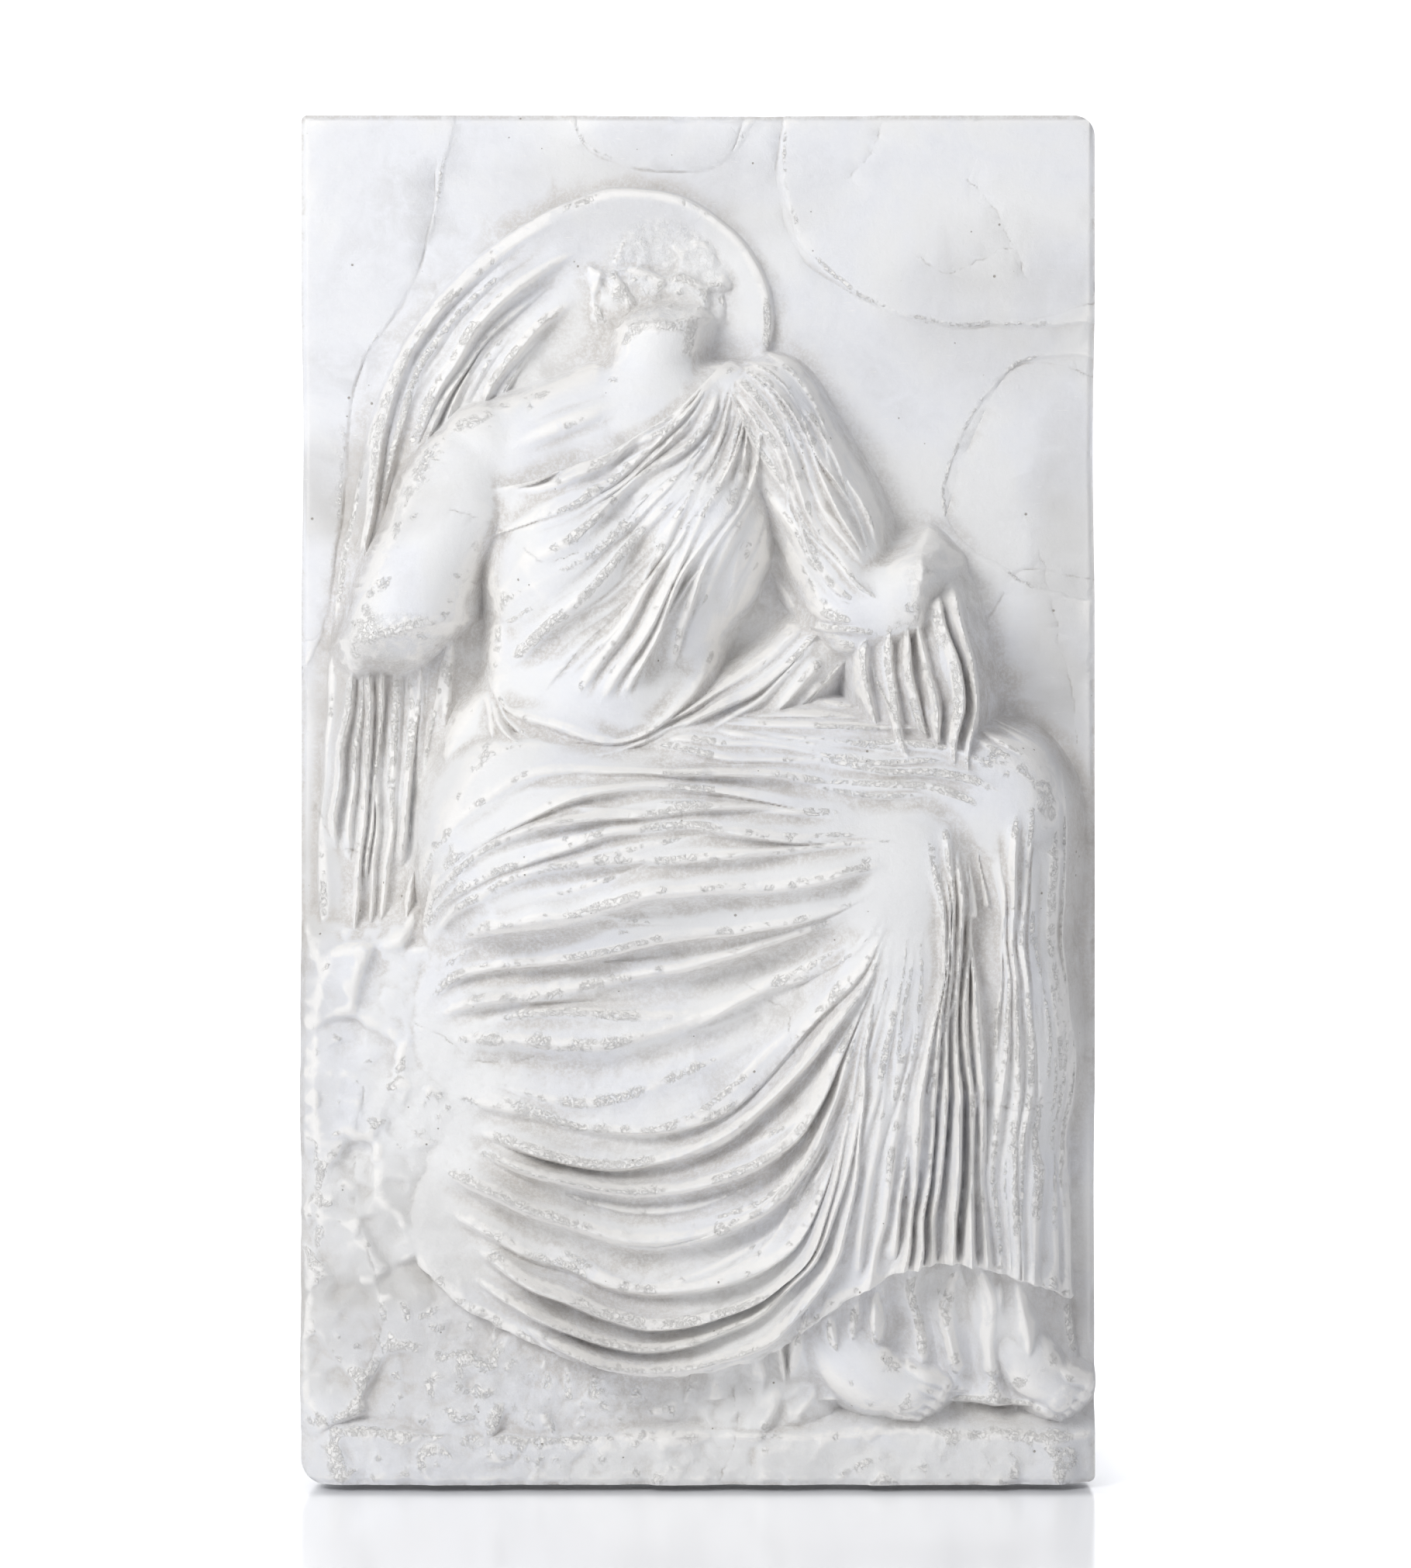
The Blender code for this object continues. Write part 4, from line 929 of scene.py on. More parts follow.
@dataclass
class Legs(Carving):
    """Legs and feet, the mantle over them and its rolled edge round the hips.

    Attributes:
        toe_roots: Place of each foot's toes in the figure's units, and their depth.
        toe_sizes: Length and radius of each toe, the largest first, in the figure's units.
    """

    toe_roots: tuple[tuple[float, ...], ...] = ((0.166, 0.010, 0.41), (0.276, 0.014, 0.30))
    toe_sizes: tuple[tuple[float, ...], ...] = (
        (0.0215, 0.0066), (0.0215, 0.0050), (0.0190, 0.0046), (0.0160, 0.0042), (0.0125, 0.0040),
    )

    def bare(self) -> tuple[Field, Field]:
        """Near and far leg, each thigh run into its shin.

        Returns:
            The near leg's height and the far leg's.
        """
        c = self.carver
        near = join([
            c.limb((
                (-0.128, 0.450, 0.26, 0.084), (-0.03, 0.446, 0.38, 0.076), (0.080, 0.432, 0.46, 0.064),
                (0.158, 0.420, 0.50, 0.053),
            ), wall=2.2),
            c.limb((
                (0.158, 0.414, 0.50, 0.052), (0.148, 0.31, 0.42, 0.048), (0.126, 0.17, 0.34, 0.036),
                (0.108, 0.060, 0.28, 0.027),
            ), wall=1.3),
        ], 0.036)
        far = join([
            c.limb(((0.0, 0.485, 0.18, 0.070), (0.10, 0.484, 0.24, 0.064), (0.228, 0.474, 0.30, 0.052))),
            c.limb((
                (0.232, 0.468, 0.30, 0.050), (0.240, 0.34, 0.24, 0.046), (0.240, 0.18, 0.18, 0.035),
                (0.240, 0.07, 0.16, 0.027),
            ), wall=2.2),
        ], 0.030)
        return near, far

    def feet(self) -> Field:
        """Both feet, toes to the right.

        Returns:
            Its height in front of the slab's face.
        """
        c = self.carver
        near = c.limb(((0.104, 0.058, 0.26, 0.028), (0.135, 0.022, 0.34, 0.026), (0.162, 0.010, 0.36, 0.019)))
        far = c.limb(((0.238, 0.066, 0.12, 0.027), (0.260, 0.030, 0.22, 0.024), (0.277, 0.014, 0.25, 0.018)))
        both = np.maximum(near, far)
        for x, z, depth in self.toe_roots:
            for k, (long, thick) in enumerate(self.toe_sizes):
                root = np.array((x, z)) + (0.0135 - 0.0078 * k) * SOLE_NORMAL - 0.006 * SOLE_ALONG
                bend, tip = root + 0.60 * long * SOLE_ALONG, root + (0.006 + long) * SOLE_ALONG
                fall = 0.03 * abs(k - 1.5)
                toe = c.limb((
                    (*root, depth + 0.055 - fall, thick), (*bend, depth + 0.070 - fall, 0.92 * thick),
                    (*tip, depth - 0.03 - fall, thick),
                ))
                both = smooth_max(both, toe, 0.0012)
        return both

    def curtain(self) -> Field:
        """Mass of cloth that hangs from the thighs to the ground, between two uneven outlines.

        Returns:
            Its height in front of the slab's face.
        """
        c, grid = self.carver, self.grid
        left = curve(c.on_slab((
            (-0.215, -0.01), (-0.200, 0.06), (-0.232, 0.14), (-0.212, 0.20), (-0.236, 0.29), (-0.214, 0.37),
            (-0.20, 0.48),
        )), 60)
        right = curve(c.on_slab(((0.298, 0.0), (0.294, 0.18), (0.286, 0.35), (0.282, 0.50))), 60)
        x_left = np.interp(grid.z, left[:, 1], left[:, 0])
        x_right = np.interp(grid.z, right[:, 1], right[:, 0])
        half = (x_right - x_left) / 2
        across = np.abs((grid.x - (x_left + x_right) / 2) / half)
        dome = 0.034 * (1 - np.clip(across, 0, 1) ** 5) ** 0.2
        out = np.where(across < 1, dome, -RELIEF.wall * (across - 1) * half)
        top = 0.43 * RELIEF.unit + RELIEF.ledge_height
        out = out - 2.5 * np.clip(grid.z - top, 0, None)
        return out - 6.0 * np.clip(RELIEF.ledge_height - grid.z, 0, None)

    def draped(self) -> Field:
        """Mantle over thighs and shins with deep swags, and the hem of the tunic below it.

        Returns:
            Its height in front of the slab's face.
        """
        c, grid = self.carver, self.grid
        near, far = self.bare()
        cloth = smooth_max(smooth_max(near, far, 0.016), self.curtain(), 0.060)
        crowns = c.crowns(cloth)
        swags = c.folds(THIGH_TO_HEM, FoldStyle(
            17, 0.028, seed=5, sharp=2.3, lean=0.45, rise=0.16, fall=0.12, stagger=0.14, vary=0.5,
            sway=0.006, narrow=0.014,
        ))
        swags = swags * (1 - ease(grid.x, 0.17, 0.19)) * (0.3 + 0.7 * ease(grid.x, -0.235, -0.155))
        shin = c.folds((
            ((0.140, 0.400), (0.118, 0.28), (0.090, 0.16), (0.066, 0.03)),
            ((0.164, 0.395), (0.148, 0.28), (0.122, 0.16), (0.100, 0.03)),
            ((0.186, 0.395), (0.184, 0.28), (0.162, 0.16), (0.146, 0.03)),
        ), FoldStyle(7, 0.015, seed=15, sharp=1.6, lean=0.3, fall=0.06, stagger=0.25, vary=0.45, merge=0.5))
        shin = shin * (1 - ease(c.side_of(THIGH_TO_HEM[-1][::-1]), -0.012, 0.012))
        between = c.folds((
            ((0.176, 0.455), (0.188, 0.34), (0.172, 0.20), (0.146, 0.01)),
            ((0.194, 0.470), (0.202, 0.34), (0.196, 0.20), (0.190, 0.01)),
            ((0.208, 0.470), (0.214, 0.34), (0.220, 0.20), (0.232, 0.01)),
        ), FoldStyle(
            6, 0.034, seed=16, sharp=1.0, lean=0.2, rise=0.10, fall=0.03, stagger=0.12, vary=0.35,
            merge=0.2, narrow=0.012,
        ))
        beyond = c.folds((
            ((0.232, 0.52), (0.236, 0.34), (0.236, 0.20), (0.236, 0.01)),
            ((0.284, 0.52), (0.286, 0.34), (0.288, 0.20), (0.296, 0.01)),
        ), FoldStyle(6, 0.022, seed=18, sharp=1.4, lean=0.3, rise=0.10, fall=0.04, stagger=0.15))
        flutes = c.folds((
            ((-0.205, 0.22), (-0.205, 0.10), (-0.220, -0.01)),
            ((-0.060, 0.16), (-0.066, 0.08), (-0.075, -0.01)),
            ((0.075, 0.16), (0.074, 0.08), (0.076, -0.01)),
            ((0.250, 0.16), (0.252, 0.08), (0.258, -0.01)),
        ), FoldStyle(
            23, 0.020, seed=17, sharp=1.2, lean=0.0, rise=0.02, fall=0.02, vary=0.35, fill=0.80,
            merge=0.3, narrow=0.012,
        ))
        mantle = np.maximum(np.maximum(swags, shin), np.maximum(between, beyond)) * (1 - 0.70 * crowns)
        flutes = flutes * (0.45 + 0.55 * ease(grid.x, -0.06, 0.04))
        to_hem = c.side_of(MANTLE_HEM) + 0.0028 * grid.rough(0.016, 3, 96, 0.7)
        mantle = cloth + 0.003 + 0.006 * (1 - ease(to_hem, 0.004, 0.030)) + mantle
        tunic = cloth - 0.011 + flutes * (1 - 0.5 * crowns)
        above = ease(to_hem, -0.0008, 0.0015)
        out = tunic * (1 - above) + mantle * above
        laps = c.folds((
            ((0.282, 0.505), (0.215, 0.545), (0.12, 0.556), (0.05, 0.566), (-0.02, 0.568)),
            ((0.272, 0.478), (0.200, 0.510), (0.12, 0.512), (0.03, 0.524), (-0.05, 0.532)),
            ((0.240, 0.452), (0.180, 0.474), (0.10, 0.482), (0.00, 0.498), (-0.09, 0.510)),
        ), FoldStyle(10, 0.015, seed=31, rise=0.12, fall=0.1, stagger=0.2, merge=0.5))
        out = smooth_max(out, far + 0.003 + laps * (1 - 0.45 * c.crowns(far)), 0.003)
        return out - 4.0 * np.clip(RELIEF.ledge_height - 0.012 - grid.z, 0, None)

    def hip_roll(self) -> Field:
        """The mantle's thick rolled edge round the hips.

        Returns:
            Its height in front of the slab's face.
        """
        roll = self.carver.limb((
            (-0.206, 0.512, -0.10, 0.018), (-0.176, 0.500, 0.30, 0.024), (-0.128, 0.494, 0.52, 0.028),
            (-0.050, 0.500, 0.56, 0.029), (0.042, 0.538, 0.42, 0.026), (0.112, 0.606, 0.22, 0.024),
        ), flat=0.55, wall=2.0)
        ridges = self.carver.folds((
            ((-0.190, 0.538), (-0.150, 0.524), (-0.060, 0.524), (0.030, 0.562), (0.095, 0.625)),
            ((-0.196, 0.484), (-0.140, 0.466), (-0.040, 0.470), (0.055, 0.512), (0.130, 0.585)),
        ), FoldStyle(6, 0.013, seed=3, sharp=1.3, lean=0.3, rise=0.20, fall=0.04, vary=0.35, merge=0.5))
        return roll + ridges


@dataclass
class Arms(Carving):
    """Both arms, and the end of the mantle that falls from the far one."""

    def near(self) -> Field:
        """Bare upper arm, broken off above the elbow.

        Returns:
            Its height in front of the slab's face.
        """
        c = self.carver
        arm = c.limb((
            (-0.168, 0.740, 0.22, 0.040), (-0.189, 0.712, 0.30, 0.045), (-0.208, 0.672, 0.35, 0.039),
            (-0.223, 0.634, 0.40, 0.040), (-0.238, 0.590, 0.45, 0.036), (-0.252, 0.545, 0.48, 0.032),
        ))
        above_break = c.side_of(((-0.34, 0.585), (-0.14, 0.622)))
        return arm - 2.2 * np.clip(-above_break - 0.006 * c.grid.rough(0.030, 4, 77), 0, None)

    def far(self) -> Field:
        """Covered arm held out to a broken stump, in folds that sag from shoulder to elbow.

        Returns:
            Its height in front of the slab's face.
        """
        c = self.carver
        arm = join([
            c.limb(((0.056, 0.774, 0.20, 0.043), (0.098, 0.698, 0.24, 0.040), (0.130, 0.624, 0.32, 0.036))),
            c.limb(((0.130, 0.622, 0.34, 0.036), (0.158, 0.628, 0.48, 0.031), (0.194, 0.644, 0.58, 0.027))),
        ], 0.014)
        past_break = -c.side_of(((0.180, 0.580), (0.176, 0.640), (0.190, 0.700)))
        arm = arm - 2.0 * np.clip(past_break - 0.005 * c.grid.rough(0.026, 3, 79), 0, None)
        sleeve = c.folds((
            ((0.006, 0.838), (0.056, 0.822), (0.096, 0.776), (0.126, 0.706), (0.150, 0.652)),
            ((0.010, 0.822), (0.046, 0.782), (0.078, 0.736), (0.108, 0.680), (0.148, 0.634)),
            ((0.010, 0.806), (0.032, 0.745), (0.056, 0.688), (0.096, 0.632), (0.148, 0.610)),
            ((0.006, 0.790), (0.014, 0.700), (0.034, 0.625), (0.080, 0.580), (0.150, 0.588)),
        ), FoldStyle(14, 0.018, seed=19, lean=0.4, rise=0.08, fall=0.12, sway=0.005))
        return arm + 0.003 + sleeve * (1 - 0.4 * c.crowns(arm))

    def cascade(self) -> Field:
        """End of the mantle that falls from the far arm on to the lap.

        Returns:
            Its height, -1 out of reach.
        """
        c, grid = self.carver, self.grid
        edge = c.inside((
            (0.122, 0.640), (0.165, 0.655), (0.206, 0.640), (0.222, 0.560), (0.214, 0.47), (0.228, 0.390),
            (0.196, 0.372), (0.166, 0.385), (0.160, 0.46), (0.132, 0.54),
        ))
        folds = c.folds((
            ((0.130, 0.640), (0.138, 0.55), (0.164, 0.47), (0.172, 0.37)),
            ((0.166, 0.650), (0.178, 0.55), (0.188, 0.47), (0.198, 0.36)),
            ((0.202, 0.640), (0.216, 0.55), (0.212, 0.47), (0.224, 0.37)),
        ), FoldStyle(
            6, 0.026, seed=21, sharp=1.0, lean=0.45, rise=0.04, fall=0.04, stagger=0.05, vary=0.35,
            merge=0.0,
        ))
        body = np.interp(grid.z, (0.40, 0.48, 0.56, 0.66), (0.060, 0.064, 0.060, 0.050))
        return np.where(edge > -0.02, body + folds - 2.5 * np.clip(0.004 - edge, 0, None), -1)


@dataclass
class SeatedFigure(Carving):
    """The draped figure on its rock, put together from its parts."""

    crease: float = 0.003

    def relief(self) -> Field:
        """Whole relief, with the fullest forms pressed back a little.

        Returns:
            The height in front of the slab's face.
        """
        stones, legs, arms = Stonework(self.carver), Legs(self.carver), Arms(self.carver)
        out = np.maximum(Veil(self.carver).height(), stones.rock())
        for height in (stones.head_scar(), legs.draped(), Torso(self.carver).dressed()):
            out = np.maximum(out, height)
        out = join((out, legs.hip_roll(), arms.near()), self.crease)
        out = np.maximum(np.maximum(out, legs.feet()), arms.cascade())
        out = np.maximum(smooth_max(out, arms.far(), self.crease), stones.ground())
        out = out - (1 - RELIEF.flat_keep) * np.clip(out - RELIEF.flat_from, 0, None)
        return np.maximum(out, 0)


@dataclass
class Weathering(Carving):
    """What time did to the original and the mould took over, and what the cast has suffered since.

    Attributes:
        joint_depth: Depth of the joints between fragments, in metres.
        crack_depth: Depth of the cracks, in metres.
        crack_width: Width of the cracks, in metres.
        crack_wander: How far a crack strays, in metres.
        crest_loss: Most that crumbles off a crest, in metres.
        crumb: Roughness of break surfaces, in metres.
        sag: Slow unevenness of the flat ground, in metres.
        chip_count: How many chips and bruises there are.
        chip_size: Least and greatest radius of a chip, in metres.
        chip_depth: Depth of a chip as a share of its radius.
        arris_chip: Most that flakes off the front arris, in metres.
    """

    joint_depth: float = 0.0013
    crack_depth: float = 0.0009
    crack_width: float = 0.0010
    crack_wander: float = 0.0045
    crest_loss: float = 0.0015
    crumb: float = 0.0014
    sag: float = 0.00070
    chip_count: int = 420
    chip_size: tuple[float, float] = (0.0011, 0.0030)
    chip_depth: float = 0.22
    arris_chip: float = 0.0022

    def groove(self, points: Sequence, width: float, wander: float, seed: int) -> Field:
        """Thin wandering line.

        Args:
            points: Where it runs, in the figure's units.
            width: Its width in metres.
            wander: How far it strays, in metres.
            seed: Which wandering.

        Returns:
            1 in the middle of the line and 0 beside it.
        """
        line = curve(self.carver.on_slab(points), 120)
        rng = np.random.default_rng(seed)
        steps = np.cumsum(rng.normal(0, 1, line.shape), axis=0)
        steps -= np.linspace(0, 1, len(line))[:, None] * steps[-1]
        line = line + steps / (np.abs(steps).max() + 1e-9) * wander
        out = np.zeros(self.grid.x.shape)
        win, distance, _, place = self.grid.nearest(line, 3 * width + 0.006)
        breadth = width * (0.70 + 0.30 * np.sin(14 * place + seed))
        strength = 0.55 + 0.45 * np.sin(23 * place + 2.7 * seed) + 0.30 * np.sin(57 * place + seed)
        strength = np.clip(strength, 0, 1)
        out[win] = np.where(np.isfinite(distance), strength * (1 - ease(distance, 0.2 * breadth, breadth)), 0)
        return out

    def fragments(self, height: Field) -> tuple[Field, Field]:
        """Marble fragments that the original was rejoined from, each at its own level.

        Args:
            height: The relief so far.

        Returns:
            The change in height, and where the joints are.
        """
        bare = 1 - ease(height, 0.001, 0.006)
        change = np.zeros(height.shape)
        for k, (outline, level) in enumerate(PLATES):
            edge = self.carver.inside(outline) + 0.0025 * self.grid.rough(0.020, 4, 510 + k, 0.6)
            change = change + level * ease(edge, -0.0012, 0.0016)
        joints = np.maximum.reduce([self.groove(*joint) for joint in JOINTS])
        return change * bare - self.joint_depth * joints * (0.35 + 0.65 * bare), joints * bare

    def cracks(self) -> Field:
        """Hairline cracks.

        Returns:
            1 in the middle of each and 0 beside it.
        """
        return np.maximum.reduce([
            self.groove(line, self.crack_width, self.crack_wander, 20 + k) for k, line in enumerate(CRACKS)
        ])

    def stains_and_shade(self, height: Field) -> Field:
        """Washes of old damp and shellac on the flat ground, brushed from side to side, with painted shade in
        a strip by the right edge and a band along the bottom.

        Args:
            height: The relief so far.

        Returns:
            How strongly each place is stained or darkened as painted shade, from 0 to 1.
        """
        grid = self.grid
        wash = np.zeros(height.shape)
        for x, z, rx, rz, strength in STAINS_AND_SHADE:
            bell = np.clip(1 - ((grid.x - x) / rx) ** 2 - ((grid.z - z) / rz) ** 2, 0, 1)
            wash = np.maximum(wash, strength * bell**0.6)
        brushed = 0.20 * grid.noise(0.170, 720, 0.07) + 0.14 * grid.noise(0.240, 721, 0.03)
        streaks = 0.74 + brushed + 0.36 * grid.rough(0.030, 5, 730, 0.65)
        return np.clip(wash * streaks, 0, 1) * (1 - 0.4 * ease(height, 0.004, 0.030))

    def losses(self, height: Field) -> tuple[Field, Field]:
        """Chips and bruises scattered over the relief.

        Args:
            height: The relief so far.

        Returns:
            How deep each loss is, and where fresh plaster shows.
        """
        grid = self.grid
        rng = np.random.default_rng(707)
        proud = np.clip(height - soften(height, 0.010 / grid.step), 0, 0.004) / 0.004
        ragged = grid.rough(0.0060, 3, 615, 0.65)
        depth = np.zeros(height.shape)
        for _ in range(self.chip_count):
            cx, cz = rng.uniform(-0.31, 0.31), rng.uniform(0, 1.06)
            size = rng.uniform(*self.chip_size) * (1 + 1.1 * (rng.uniform() > 0.92))
            turn, long = rng.uniform(0, np.pi), rng.uniform(1.0, 2.4)
            win = grid.window((cx - 3 * size, cz - 3 * size), (cx + 3 * size, cz + 3 * size))
            px, pz = grid.flat_x[win] - cx, grid.flat_z[win] - cz
            u = (px * np.cos(turn) + pz * np.sin(turn)) / (size * long)
            v = (-px * np.sin(turn) + pz * np.cos(turn)) / size
            away = u * u + v * v
            bowl = np.clip(1 - away + 1.1 * ragged[win], 0, 1) * (away < 2.4)
            depth[win] = np.maximum(depth[win], bowl * size * self.chip_depth)
        depth = depth * (0.12 + 0.88 * proud) * (1 + 0.6 * grid.rough(0.004, 2, 612))
        return depth, ease(depth, 0.0001, 0.0005)

    def broken_places(self) -> Field:
        """Rock, ledge and break surfaces, which are rough all over.

        Returns:
            How rough each place is, from 0 to 1.
        """
        c, grid = self.carver, self.grid
        ledge = 1 - ease(grid.z, RELIEF.ledge_height - 0.006, RELIEF.ledge_height + 0.004)
        left_of_cloth = -c.side_of(((-0.212, -0.05), (-0.215, 0.10), (-0.228, 0.24), (-0.225, 0.40)))
        seat = ease(left_of_cloth, -0.004, 0.004) * (1 - ease(grid.z, 0.400, 0.425)) * (grid.x < 0)
        spots = [ease(c.swelling(*place), 0.0, 0.25) for place in BREAKS]
        return np.maximum.reduce([0.6 * ledge, 0.7 * seat, *spots])

    def rim_chips(self) -> Field:
        """Flaking along the slab's front arris.

        Returns:
            The height lost, in metres.
        """
        grid = self.grid
        border = np.minimum(
            np.minimum(grid.flat_x + SLAB.width / 2, SLAB.width / 2 - grid.flat_x),
            np.minimum(grid.flat_z, SLAB.height - grid.flat_z),
        )
        reach = 0.0045 + 0.0055 * np.clip(grid.rough(0.030, 3, 640), 0, 1)
        broken = ease(grid.rough(0.016, 4, 650, 0.65), 0.02, 0.30)
        rounding = SLAB.rim_rounding * (1 - ease(border, -1e-6, 2.2 * SLAB.rim_rounding))
        chips = self.arris_chip * broken * (1 - ease(border, 0.2 * reach, reach))
        return np.maximum(rounding, chips + 0.3 * rounding)

    def worn(self, height: Field) -> tuple[Field, dict[str, Field]]:
        """The relief with all its wear, and the masks that its finish is drawn from.

        Args:
            height: The relief as carved.

        Returns:
            The worn height, and fields from 0 to 1 by name.
        """
        grid = self.grid
        change, joints = self.fragments(height)
        cracks = self.cracks()
        out = height + change - self.crack_depth * cracks
        crest = np.clip(out - soften(out, 0.0030 / grid.step), 0, 0.0012) / 0.0012
        patches = ease(grid.rough(0.060, 3, 660) + 0.70 * grid.rough(0.009, 3, 670, 0.75), -0.12, 0.34)
        wear = ease(crest, 0.12, 0.80) * patches
        crumble = 0.45 + 0.80 * grid.rough(0.0036, 3, 680, 0.8)
        out = out - self.crest_loss * wear * np.clip(crumble, 0, 1.2)
        broken = self.broken_places()
        out = out + self.crumb * broken * grid.rough(0.0095, 3, 685, 0.72)
        losses, fresh = self.losses(out)
        out = out - losses - self.rim_chips()
        out = out + self.sag * grid.rough(0.055, 2, 690)
        # Hollows at sizes up to 32 mm, which the finish paints warm grey as dust and as painted shade
        hollow = sum(
            np.clip(soften(out, reach / grid.step) - out, 0, None) / reach * share
            for reach, share in ((0.0022, 1.0), (0.006, 0.95), (0.016, 0.50), (0.032, 0.22))
        )
        bare = 1 - ease(out, 0.002, 0.008)
        hollow = hollow * (1 - 0.45 * broken) * (1 - 0.45 * bare)
        # On steep walls one grid cell is a long strip, so nothing fine is kept there
        steep = ease(np.hypot(*np.gradient(out, grid.step)), 1.1, 2.2)
        hollow = hollow + steep * (soften(hollow, 0.006 / grid.step) - hollow)
        wear = wear * (1 - steep)
        # Patches that break up the dust and painted shade in the hollows
        flow = 0.50 + 1.00 * grid.rough(0.085, 5, 710)
        masks = {
            "hollow": np.clip(hollow * 1.7, 0, 1),
            "dust_and_shade_patches": np.clip(flow, 0, 1),
            "wear": np.clip(wear + 0.6 * fresh + 0.22 * broken, 0, 1),
            "crest": np.clip(out - soften(out, 0.0045 / grid.step), 0, 0.0016) / 0.0016,
            "crack": np.clip(np.maximum(cracks, 0.7 * joints), 0, 1),
            "stain_and_shade": self.stains_and_shade(out),
        }
        return out, masks


class PlasterTone(Enum):
    """Colours of the cast, as sRGB hex."""

    CLEAN = "F2F2F1"
    COOL = "EFF0F3"
    DUST_AND_SHADE = "CFCAC4"
    DIRT_AND_SHADE = "9C958C"
    FRESH = "FCFAF6"
    STAIN_AND_SHADE = "C9C7C3"


def linear(tone: str) -> tuple[float, float, float, float]:
    """An sRGB hex colour for a shader.

    Args:
        tone: Six hex digits.

    Returns:
        The linear red, green and blue, and 1.
    """
    parts = [int(tone[k:k + 2], 16) / 255 for k in (0, 2, 4)]
    values = [v / 12.92 if v <= 0.04045 else ((v + 0.055) / 1.055) ** 2.4 for v in parts]
    return (values[0], values[1], values[2], 1.0)


SMOOTH_STEP = {"interpolation_type": "SMOOTHSTEP"}
MULTIPLY = {"operation": "MULTIPLY"}


def add_node(tree: bpy.types.NodeTree, kind: str, settings: dict | None = None,
             inputs: dict | None = None) -> bpy.types.Node:
    """Adds a node with its settings and links.

    Args:
        tree: The material's tree.
        kind: The node's type name.
        settings: Attributes to set on the node.
        inputs: Values, or sockets to link, by input name or index.

    Returns:
        The new node.
    """
    node = tree.nodes.new(kind)
    for name, value in (settings or {}).items():
        setattr(node, name, value)
    for name, value in (inputs or {}).items():
        if isinstance(value, Socket):
            tree.links.new(value, node.inputs[name])
        else:
            node.inputs[name].default_value = value
    return node


